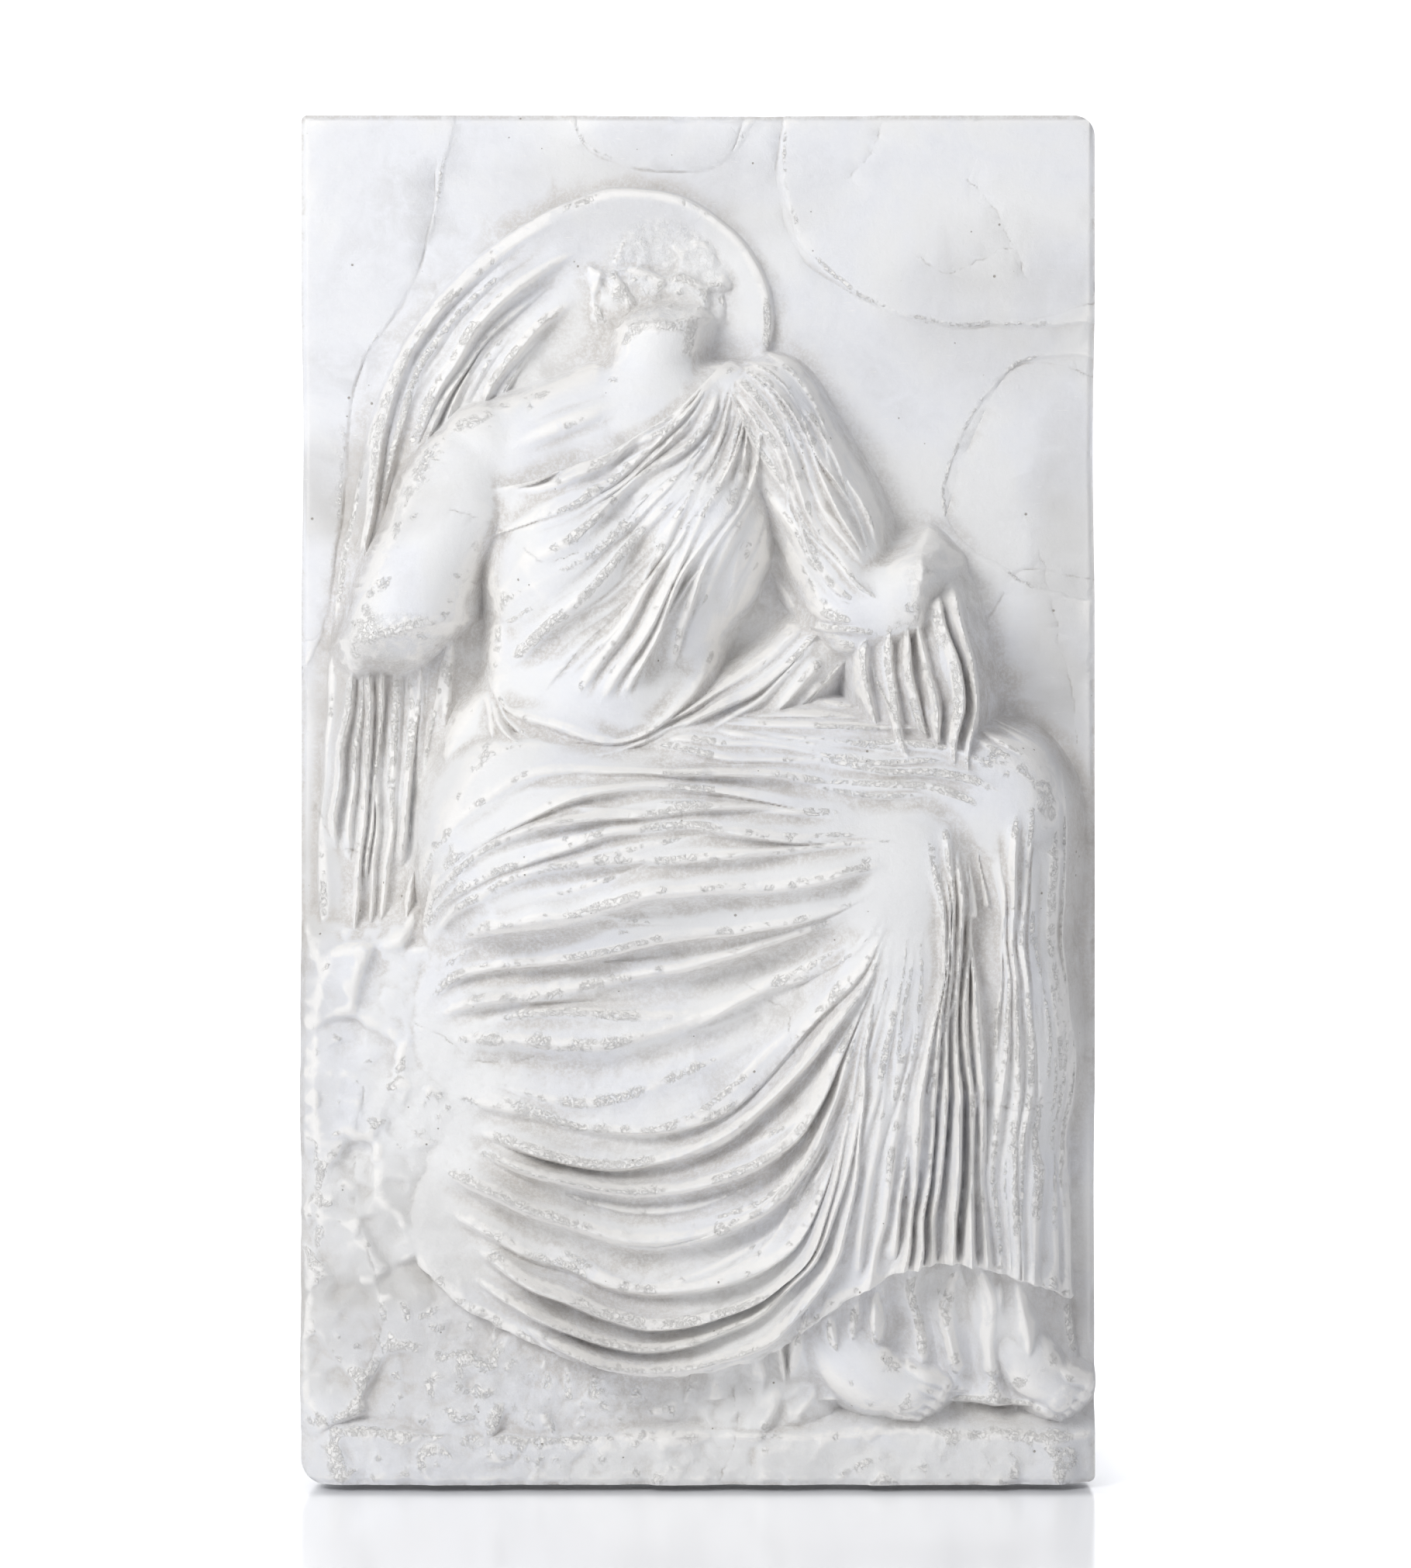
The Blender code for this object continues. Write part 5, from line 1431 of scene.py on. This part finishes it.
@dataclass(frozen=True)
class CastPlaster:
    """Aged gypsum plaster, cast in a piece mould and handled for a century.

    Gypsum dries to a dense, chalky white that scatters light broadly. Handling leaves a faint
    polish on full forms, dust and painted shade lie warm grey in the hollows, and knocks show
    fresh white.
    A row of a pattern starts with its name, by which later rows refer to it.

    Attributes:
        ior: Index of refraction of gypsum.
        roughness: Roughness of a clean crown.
        scuff_stretch: Scale of the scuffs across, through and up, which run mostly sideways.
        hole_size: Radius of the largest pinhole as a share of the distance between them.
        hole_edge: Share of that distance over which a pinhole deepens.
        masks: Masks kept on the mesh.
        noises: Size of the features in millimetres, octaves, strength of the finer ones, bend.
        points: Distance between scattered holes, in millimetres.
        steps: Pattern that is tested, and where its smooth step from 0 to 1 starts and ends.
        sums: Operation and its two values, a sum being held between 0 and 1.
        layers: Tone, the pattern that it lies in and how strongly, each over those before.
        reliefs: Pattern, how much of it shows, its depth in metres, and whether it sinks in.
    """

    ior: float = 1.52
    roughness: float = 0.62
    scuff_stretch: tuple[float, float, float] = (0.28, 1.0, 2.2)
    hole_size: float = 0.075
    hole_edge: float = 0.022
    masks: tuple[str, ...] = ("hollow", "dust_and_shade_patches", "wear", "crest", "crack", "stain_and_shade")
    noises: Rows = (
        ("cloud", 140.0, 6.0, 0.60, 0.4),
        ("smear", 22.0, 8.0, 0.68, 0.6),
        ("flakes", 4.2, 5.0, 0.72, 0.8),
        ("speckle", 2.6, 3.0, 0.70, 0.0),
        ("scuff", 4.0, 4.0, 0.75, 0.0),
        ("grain", 1.4, 3.0, 0.60, 0.0),
        ("waves", 8.0, 4.0, 0.62, 0.0),
        ("bubble_sizes", 31.0, 2.0, 0.55, 0.0),
    )
    points: Rows = (("bubbles", 16.0), ("pores", 5.0))
    steps: Rows = (
        ("cool", "cloud", 0.42, 0.60),
        ("drift_clouds", "cloud", 0.50, 0.72),
        ("drift_smears", "smear", 0.30, 0.62),
        # Where the hollows get their dust and painted shade
        ("in_hollows", "hollow", 0.06, 0.75),
        ("dust_and_shade_smears", "smear", 0.34, 0.60),
        ("speckled", "speckle", 0.38, 0.62),
        ("deep_hollows", "hollow", 0.50, 1.0),
        ("deep_smears", "smear", 0.46, 0.66),
        ("crests", "crest", 0.15, 0.85),
        ("rubbed_smears", "smear", 0.36, 0.56),
        ("knocked", "wear", 0.08, 0.50),
        ("chipped", "flakes", 0.43, 0.57),
        ("between_flakes", "flakes", 0.40, 0.30),
        ("scuff_lines", "scuff", 0.63, 0.70),
        ("scuff_clouds", "cloud", 0.46, 0.58),
        ("large_bubbles", "bubble_sizes", 0.42, 0.66),
        ("pore_mouths", "pores", 0.30, 0.0),
        ("pore_smears", "smear", 0.50, 0.68),
    )
    sums: Rows = (
        ("drift", "MULTIPLY", "drift_clouds", "drift_smears"),
        # Dust and painted shade in the hollows, broken up by patches, smears and speckle
        ("thick", "ADD", "dust_and_shade_patches", 0.25),
        ("shaded_dusty_hollows", "MULTIPLY", "in_hollows", "thick"),
        ("smeared", "ADD", "dust_and_shade_smears", 0.50),
        ("hollow_dust_and_shade", "MULTIPLY", "shaded_dusty_hollows", "smeared"),
        ("speckled", "MULTIPLY", "speckled", 0.70),
        ("speckled", "ADD", "speckled", 0.45),
        ("hollow_dust_and_shade", "MULTIPLY", "hollow_dust_and_shade", "speckled"),
        ("deep", "MULTIPLY", "deep_hollows", "deep_smears"),
        ("rubbed", "ADD", "rubbed_smears", 0.35),
        ("rubbed", "MULTIPLY", "crests", "rubbed"),
        ("flaked", "MULTIPLY", "knocked", "chipped"),
        ("dusty_knocks", "MULTIPLY", "knocked", "between_flakes"),
        ("scuffs", "MULTIPLY", "scuff_lines", "scuff_clouds"),
        ("pitted", "MULTIPLY", "pore_mouths", "pore_smears"),
        ("pitted", "MULTIPLY", "pitted", 0.35),
        ("pitted", "ADD", "pitted", "holes"),
        ("dull_dust", "MULTIPLY", "shaded_dusty_hollows", 0.20),
        ("dull_flakes", "MULTIPLY", "flaked", 0.25),
        ("dull", "ADD", "dull_dust", "dull_flakes"),
    )
    layers: Rows = (
        # Clean plaster drifts between a warm and a cool white
        (PlasterTone.COOL, "cool", 1.0),
        # Broad faint stains left by shellac and damp, with painted shade in a strip by the right edge and a
        # band along the bottom
        (PlasterTone.STAIN_AND_SHADE, "stain_and_shade", 1.0),
        (PlasterTone.STAIN_AND_SHADE, "drift", 0.35),
        # Dust and painted shade lie warm grey in the hollows, darker grey in the deepest, and thin out in
        # smears over the flats
        (PlasterTone.DUST_AND_SHADE, "hollow_dust_and_shade", 0.70),
        (PlasterTone.DIRT_AND_SHADE, "deep", 0.24),
        # Crests are rubbed clean, and knocked ones show crumbly fresh white in flakes
        (PlasterTone.FRESH, "rubbed", 0.85),
        (PlasterTone.FRESH, "flaked", 1.0),
        (PlasterTone.DUST_AND_SHADE, "dusty_knocks", 0.15),
        # Scuffs from handling, then dirt in cracks and pinholes
        (PlasterTone.FRESH, "scuffs", 0.55),
        (PlasterTone.DIRT_AND_SHADE, "crack", 0.34),
        (PlasterTone.DIRT_AND_SHADE, "holes", 0.85),
    )
    reliefs: Rows = (
        ("grain", 0.50, 0.0003, False),
        ("waves", 0.65, 0.0010, False),
        ("flaked", 0.75, 0.0009, False),
        ("pitted", 0.70, 0.0007, True),
        ("smear", 0.50, 0.0008, False),
    )

    def pinholes(self, tree: bpy.types.NodeTree, made: dict[str, Socket]) -> Socket:
        """Air bubbles from casting, which left small dark holes of uneven size.

        Args:
            tree: The material's tree.
            made: The patterns so far, by name.

        Returns:
            1 in a hole and 0 beside it.
        """
        size = add_node(tree, "ShaderNodeMath", MULTIPLY, {0: made["large_bubbles"], 1: self.hole_size})
        within = add_node(tree, "ShaderNodeMath", {"operation": "SUBTRACT"}, {
            0: size.outputs[0], 1: made["bubbles"],
        })
        return add_node(tree, "ShaderNodeMapRange", SMOOTH_STEP, {
            "Value": within.outputs[0], "From Min": 0.0, "From Max": self.hole_edge,
        }).outputs["Result"]

    def patterns(self, tree: bpy.types.NodeTree) -> dict[str, Socket]:
        """Lays out the masks and noises, and what is worked out from them.

        Args:
            tree: The material's tree.

        Returns:
            The patterns by name.
        """
        place = add_node(tree, "ShaderNodeTexCoord").outputs["Object"]
        wide = add_node(tree, "ShaderNodeMapping", None, {"Vector": place, "Scale": self.scuff_stretch})
        made = {}
        for name in self.masks:
            made[name] = add_node(tree, "ShaderNodeAttribute", {"attribute_name": name}).outputs["Fac"]
        for name, millimetres, detail, rough, bend in self.noises:
            made[name] = add_node(tree, "ShaderNodeTexNoise", None, {
                "Vector": wide.outputs[0] if name == "scuff" else place,
                "Scale": MM_PER_METRE / millimetres, "Detail": detail, "Roughness": rough,
                "Distortion": bend,
            }).outputs["Fac"]
        for name, millimetres in self.points:
            made[name] = add_node(tree, "ShaderNodeTexVoronoi", {"feature": "F1"}, {
                "Vector": place, "Scale": MM_PER_METRE / millimetres, "Randomness": 1.0,
            }).outputs["Distance"]
        for name, tested, low, high in self.steps:
            made[name] = add_node(tree, "ShaderNodeMapRange", SMOOTH_STEP, {
                "Value": made[tested], "From Min": low, "From Max": high,
            }).outputs["Result"]
        made["holes"] = self.pinholes(tree, made)
        for name, operation, a, b in self.sums:
            settings = {"operation": operation, "use_clamp": operation == "ADD"}
            values = {0: made.get(a, a), 1: made.get(b, b)}
            made[name] = add_node(tree, "ShaderNodeMath", settings, values).outputs[0]
        return made

    def material(self) -> bpy.types.Material:
        """Builds the finish from the mesh's masks and noises of real sizes.

        Returns:
            The material.
        """
        finish = bpy.data.materials.new("cast_gypsum_plaster")
        finish.use_nodes = True
        tree = finish.node_tree
        shader = tree.nodes["Principled BSDF"]
        shader.inputs["IOR"].default_value = self.ior
        made = self.patterns(tree)
        colour = linear(PlasterTone.CLEAN.value)
        for tone, pattern, strength in self.layers:
            share = add_node(tree, "ShaderNodeMath", MULTIPLY, {0: made[pattern], 1: strength})
            colour = add_node(tree, "ShaderNodeMix", {"data_type": "RGBA"}, {
                0: share.outputs[0], 6: colour, 7: linear(tone.value),
            }).outputs[2]
        normal = None
        for pattern, strength, distance, sunk in self.reliefs:
            inputs = {"Strength": strength, "Distance": distance, "Height": made[pattern]}
            if normal is not None:
                inputs["Normal"] = normal
            normal = add_node(tree, "ShaderNodeBump", {"invert": sunk}, inputs).outputs["Normal"]
        # Handled crowns are a little smoother than dusty hollows and fresh breaks
        rough = add_node(tree, "ShaderNodeMath", {"operation": "ADD", "use_clamp": True}, {
            0: made["dull"], 1: self.roughness,
        })
        tree.links.new(colour, shader.inputs["Base Color"])
        tree.links.new(rough.outputs[0], shader.inputs["Roughness"])
        tree.links.new(normal, shader.inputs["Normal"])
        return finish


@dataclass
class ReliefPlaque:
    """The cast itself: carved front, worn rim, sides and flat back, as one closed mesh.

    Attributes:
        step: Distance between the grid's crossings, in metres.
        front_triangles: How many triangles the front keeps.
        side_shares: Where the rings on the sides lie, from the front to the back.
        sharp_degrees: Edges sharper than this aren't shaded smooth.
        inside_solid: How far the relief stays inside the solid's box, in metres.
    """

    step: float = FINE_STEP
    front_triangles: int = 188_000
    side_shares: tuple[float, ...] = (0.07, 0.30, 0.65, 1.0)
    sharp_degrees: float = 62.0
    inside_solid: float = 0.0004
    finish: CastPlaster = field(default_factory=CastPlaster)
    grid: Grid = field(init=False)
    height: Field = field(init=False)
    masks: dict[str, Field] = field(init=False)

    def carve(self) -> None:
        """Works out the worn relief and its masks on the grid."""
        self.grid = Grid(self.step)
        carver = Carver(self.grid)
        carved = SeatedFigure(carver).relief()
        worn, self.masks = Weathering(carver).worn(carved)
        deepest = -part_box("relief_plaque")[0][1] - SLAB.thickness - self.inside_solid
        self.height = np.minimum(worn, deepest)

    def outline(self, x: Field, z: Field) -> tuple[Field, Field]:
        """Flat coordinates moved to the slab's worn outline.

        Args:
            x: Distance across from the middle.
            z: Height from the lower edge.

        Returns:
            The moved x and z.
        """
        half = SLAB.width / 2
        wave = SLAB.edge_wave * (np.sin(9.0 * z + 0.7) + 0.6 * np.sin(23.0 * z + 2.0))
        x_new = x * (1 - np.clip(wave, 0, None) / half)
        z_new = z * (1 - SLAB.edge_wave * np.clip(np.sin(11.0 * x + 1.2), 0, None) / SLAB.height)
        corners = (
            (-1, 0, SLAB.corner_low_left), (1, 1, SLAB.corner_top_right), (-1, 1, SLAB.corner_other),
            (1, 0, SLAB.corner_other),
        )
        for side, up, radius in corners:
            across = np.clip(radius - half + side * x, 0, None)
            along = np.clip(radius - ((SLAB.height - z) if up else z), 0, None)
            back = np.clip(1 - radius / np.maximum(np.hypot(across, along), 1e-9), 0, None)
            x_new = x_new - side * back * across
            z_new = z_new + (-1 if up else 1) * back * along
        return x_new, z_new

    def carved_front(self) -> bpy.types.Object:
        """Grid mesh moved out to the relief, with a modifier that thins it where it is plain.

        Returns:
            The front as an object of its own.
        """
        columns, rows = len(self.grid.xs), len(self.grid.zs)
        mesh = bpy.data.meshes.new("relief_front")
        bm = bmesh.new()
        bmesh.ops.create_grid(bm, x_segments=columns - 1, y_segments=rows - 1, size=0.5)
        bm.to_mesh(mesh)
        triangles = 2 * len(bm.faces)
        bm.free()
        place = np.empty(len(mesh.vertices) * 3)
        mesh.vertices.foreach_get("co", place)
        place = place.reshape(-1, 3)
        column = np.rint((place[:, 0] + 0.5) * (columns - 1)).astype(int)
        row = np.rint((place[:, 1] + 0.5) * (rows - 1)).astype(int)
        x_new, z_new = self.outline(self.grid.flat_x, self.grid.flat_z)
        moved = np.stack([
            x_new[row, column], -SLAB.thickness - self.height[row, column], z_new[row, column],
        ], axis=1)
        mesh.vertices.foreach_set("co", moved.ravel())
        mesh.update()
        front = bpy.data.objects.new("relief_front", mesh)
        bpy.context.scene.collection.objects.link(front)
        thin = front.modifiers.new("thin", "DECIMATE")
        thin.ratio = min(1.0, self.front_triangles / triangles)
        thin.use_collapse_triangulate = True
        return front

    def closed_mesh(self, front: bpy.types.Object) -> bpy.types.Mesh:
        """Draws the front's rim back in rings and closes the flat back.

        Args:
            front: The carved front with its thinning modifier.

        Returns:
            The plaque's mesh, with its faces outward.
        """
        graph = bpy.context.evaluated_depsgraph_get()
        bm = bmesh.new()
        bm.from_mesh(front.evaluated_get(graph).to_mesh())
        half = SLAB.width / 2
        for vert in bm.verts:
            vert.co.x = min(max(vert.co.x, -half), half)
            vert.co.z = min(max(vert.co.z, 0.0), SLAB.height)
        rim = [edge for edge in bm.edges if edge.is_boundary]
        for share in self.side_shares:
            drawn = bmesh.ops.extrude_edge_only(bm, edges=rim)["geom"]
            for vert in (item for item in drawn if isinstance(item, bmesh.types.BMVert)):
                vert.co.y = -SLAB.thickness * (1 - share) if share < 1 else 0.0
            rim = [item for item in drawn if isinstance(item, bmesh.types.BMEdge) and item.is_boundary]
        bmesh.ops.contextual_create(bm, geom=rim)
        bmesh.ops.triangulate(bm, faces=[face for face in bm.faces if len(face.verts) > 3])
        bmesh.ops.recalc_face_normals(bm, faces=bm.faces)
        mesh = bpy.data.meshes.new("plaster_plaque")
        bm.to_mesh(mesh)
        bm.free()
        return mesh

    def store_masks(self, mesh: bpy.types.Mesh) -> None:
        """Keeps the masks as point attributes and shifts the mesh to the frame's origin.

        Args:
            mesh: The plaque's mesh, with its lower edge still at 0.
        """
        place = np.empty(len(mesh.vertices) * 3)
        mesh.vertices.foreach_get("co", place)
        place = place.reshape(-1, 3)
        on_front = ease(-place[:, 1], 0.6 * SLAB.thickness, 0.9 * SLAB.thickness)
        # The top edge and top face get the darker hollow tone in full
        top_edge_band = ease(place[:, 2], SLAB.height - 0.006, SLAB.height - 0.002)
        for name, values in self.masks.items():
            at = self.grid.sample(values, place[:, 0], place[:, 2])
            if name == "hollow":
                at = np.maximum(at * on_front, 0.65 * top_edge_band)
            elif name == "dust_and_shade_patches":
                at = np.maximum(at, top_edge_band)
            else:
                at = at * on_front
            mesh.attributes.new(name, "FLOAT", "POINT").data.foreach_set("value", at.astype(np.float32))
        place[:, 2] -= SLAB.height / 2
        mesh.vertices.foreach_set("co", place.ravel())
        mesh.update()

    def build(self) -> bpy.types.Object:
        """Returns:
            The plaque.
        """
        self.carve()
        log.info("relief carved, %.1f mm deep", MM_PER_METRE * self.height.max())
        front = self.carved_front()
        mesh = self.closed_mesh(front)
        bpy.data.objects.remove(front)
        self.store_masks(mesh)
        mesh.polygons.foreach_set("use_smooth", np.ones(len(mesh.polygons), bool))
        mesh.set_sharp_from_angle(angle=np.radians(self.sharp_degrees))
        mesh.materials.append(self.finish.material())
        plaque = bpy.data.objects.new("plaster_plaque", mesh)
        bpy.context.scene.collection.objects.link(plaque)
        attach(plaque, "root")
        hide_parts("relief_plaque")
        log.info("plaque: %d triangles", len(mesh.polygons))
        return plaque


@dataclass(frozen=True)
class SoftLight:
    """One large studio light."""

    name: str
    place: tuple[float, float, float]
    target: tuple[float, float, float]
    size: tuple[float, float]
    power: float
    tone: str = "FFFFFF"

    def build(self) -> bpy.types.Object:
        """Adds the light, turned to its target.

        Returns:
            The light.
        """
        data = bpy.data.lights.new(self.name, "AREA")
        data.shape = "RECTANGLE"
        data.size, data.size_y = self.size
        data.energy = self.power
        data.color = linear(self.tone)[:3]
        lamp = bpy.data.objects.new(self.name, data)
        aim = Vector(self.target) - Vector(self.place)
        lamp.matrix_world = Matrix.Translation(self.place) @ aim.to_track_quat("-Z", "Y").to_matrix().to_4x4()
        bpy.context.scene.collection.objects.link(lamp)
        return lamp


@dataclass
class Studio:
    """White sweep, soft lights and the camera straight in front.

    Attributes:
        distance: From the camera to the plaque's back, in metres.
        seen_height: What the picture shows at the slab's face, in metres.
        sensor: Height of the camera's sensor, in millimetres.
        centre: Place across and up that the camera looks at.
        floor: Height of the floor.
        reach: Half the floor's width.
        bend_from: Where the floor starts to bend up behind the plaque.
        bend: Radius of the bend.
        rise: Height of the backdrop over the bend.
        fill: Strength of the even light from all round.
        lights: The soft lights.
    """

    distance: float = 4.2
    seen_height: float = 1.2185
    sensor: float = 36.0
    centre: tuple[float, float] = (0.0057, 0.0102)
    floor: float = -0.5350
    reach: float = 7.0
    bend_from: float = 6.0
    bend: float = 1.2
    rise: float = 4.0
    fill: float = 0.392
    lights: tuple[SoftLight, ...] = (
        SoftLight("key", (-1.7, -2.5, 1.55), (0.0, 0.0, -0.05), (1.35, 1.35), 53.0),
        SoftLight("top", (0.2, -1.3, 2.3), (0.0, 0.0, 0.15), (2.0, 0.8), 3.5),
    )

    def sweep(self) -> bpy.types.Object:
        """Pale floor that curves up into a backdrop.

        Returns:
            The sweep.
        """
        bm = bmesh.new()
        bmesh.ops.create_grid(bm, x_segments=1, y_segments=1, size=self.reach)
        for vert in bm.verts:
            vert.co.y = min(vert.co.y, self.bend_from)
            vert.co.z = self.floor
        edge = [e for e in bm.edges if all(v.co.y > 0 for v in e.verts)]
        bend = bmesh.ops.spin(
            bm, geom=edge, cent=(0, self.bend_from, self.floor + self.bend), axis=(1, 0, 0), dvec=(0, 0, 0),
            angle=np.pi / 2, steps=24, use_duplicate=False,
        )["geom_last"]
        top = [item for item in bend if isinstance(item, bmesh.types.BMEdge)]
        risen = bmesh.ops.extrude_edge_only(bm, edges=top)["geom"]
        raised = [item for item in risen if isinstance(item, bmesh.types.BMVert)]
        bmesh.ops.translate(bm, vec=(0, 0, self.rise), verts=raised)
        mesh = bpy.data.meshes.new("studio_sweep")
        bm.to_mesh(mesh)
        bm.free()
        mesh.polygons.foreach_set("use_smooth", np.ones(len(mesh.polygons), bool))
        mesh.materials.append(self.sweep_paper())
        sweep = bpy.data.objects.new("studio_sweep", mesh)
        bpy.context.scene.collection.objects.link(sweep)
        return sweep

    def sweep_paper(self) -> bpy.types.Material:
        """Glossy white board that glows of itself, more towards the back, until it is plain white, apart from
        shadow and reflection.

        Returns:
            The material.
        """
        paper = bpy.data.materials.new("white_gloss_board")
        paper.use_nodes = True
        shader = paper.node_tree.nodes["Principled BSDF"]
        shader.inputs["Base Color"].default_value = linear("F6F7FA")
        shader.inputs["Roughness"].default_value = 0.16
        shader.inputs["IOR"].default_value = 1.45
        shader.inputs["Emission Color"].default_value = linear("FFFFFF")
        tree = paper.node_tree
        place = add_node(tree, "ShaderNodeTexCoord").outputs["Object"]
        spot = add_node(tree, "ShaderNodeSeparateXYZ", None, {0: place}).outputs
        aside = add_node(tree, "ShaderNodeMath", {"operation": "ABSOLUTE"}, {0: spot["X"]}).outputs[0]
        glow = add_node(tree, "ShaderNodeMapRange", SMOOTH_STEP, {
            "Value": spot["Y"], "From Min": 0.0, "From Max": 1.6, "To Min": 0.19, "To Max": 0.75,
        }).outputs["Result"]
        # No glow straight under the cast, so that its contact shadow stays dark
        glow_allowed = 0.0
        for value, low, high in ((spot["Y"], -0.085, -0.125), (spot["Y"], 0.05, 0.30), (aside, 0.30, 0.36)):
            beside = add_node(tree, "ShaderNodeMapRange", SMOOTH_STEP, {
                "Value": value, "From Min": low, "From Max": high,
            }).outputs["Result"]
            glow_allowed = add_node(tree, "ShaderNodeMath", {"operation": "MAXIMUM"}, {0: glow_allowed, 1: beside}).outputs[0]
        strength = add_node(tree, "ShaderNodeMath", MULTIPLY, {0: glow, 1: glow_allowed}).outputs[0]
        tree.links.new(strength, shader.inputs["Emission Strength"])
        return paper

    def world(self) -> None:
        """Even white surroundings."""
        world = bpy.data.worlds.new("white_studio")
        world.use_nodes = True
        back = world.node_tree.nodes["Background"]
        back.inputs["Color"].default_value = linear("F9FAFF")
        back.inputs["Strength"].default_value = self.fill
        bpy.context.scene.world = world
        bpy.context.scene.view_settings.view_transform = "Standard"
        bpy.context.scene.view_settings.look = "None"

    def camera(self) -> bpy.types.Object:
        """Camera level with the plaque's middle, as in the photograph.

        Returns:
            The camera.
        """
        data = bpy.data.cameras.new("camera")
        data.sensor_fit = "VERTICAL"
        data.sensor_height = self.sensor
        data.lens = self.sensor * (self.distance - SLAB.thickness) / self.seen_height
        camera = bpy.data.objects.new("camera", data)
        place = Matrix.Translation((self.centre[0], -self.distance, self.centre[1]))
        camera.matrix_world = place @ Matrix.Rotation(np.pi / 2, 4, "X")
        bpy.context.scene.collection.objects.link(camera)
        bpy.context.scene.camera = camera
        return camera

    def build(self) -> None:
        """Sets the whole studio up."""
        self.world()
        self.sweep()
        for light in self.lights:
            light.build()
        self.camera()
        log.info("studio: %d lights", len(self.lights))


def write_sizes() -> None:
    """Updates the view layer."""
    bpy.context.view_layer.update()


def main() -> None:
    """Builds the plaque and the studio."""
    logging.basicConfig(level=logging.INFO, format="%(name)s: %(message)s")
    ReliefPlaque(step=FINE_STEP).build()
    Studio().build()
    write_sizes()


if __name__ == "__main__":
    main()
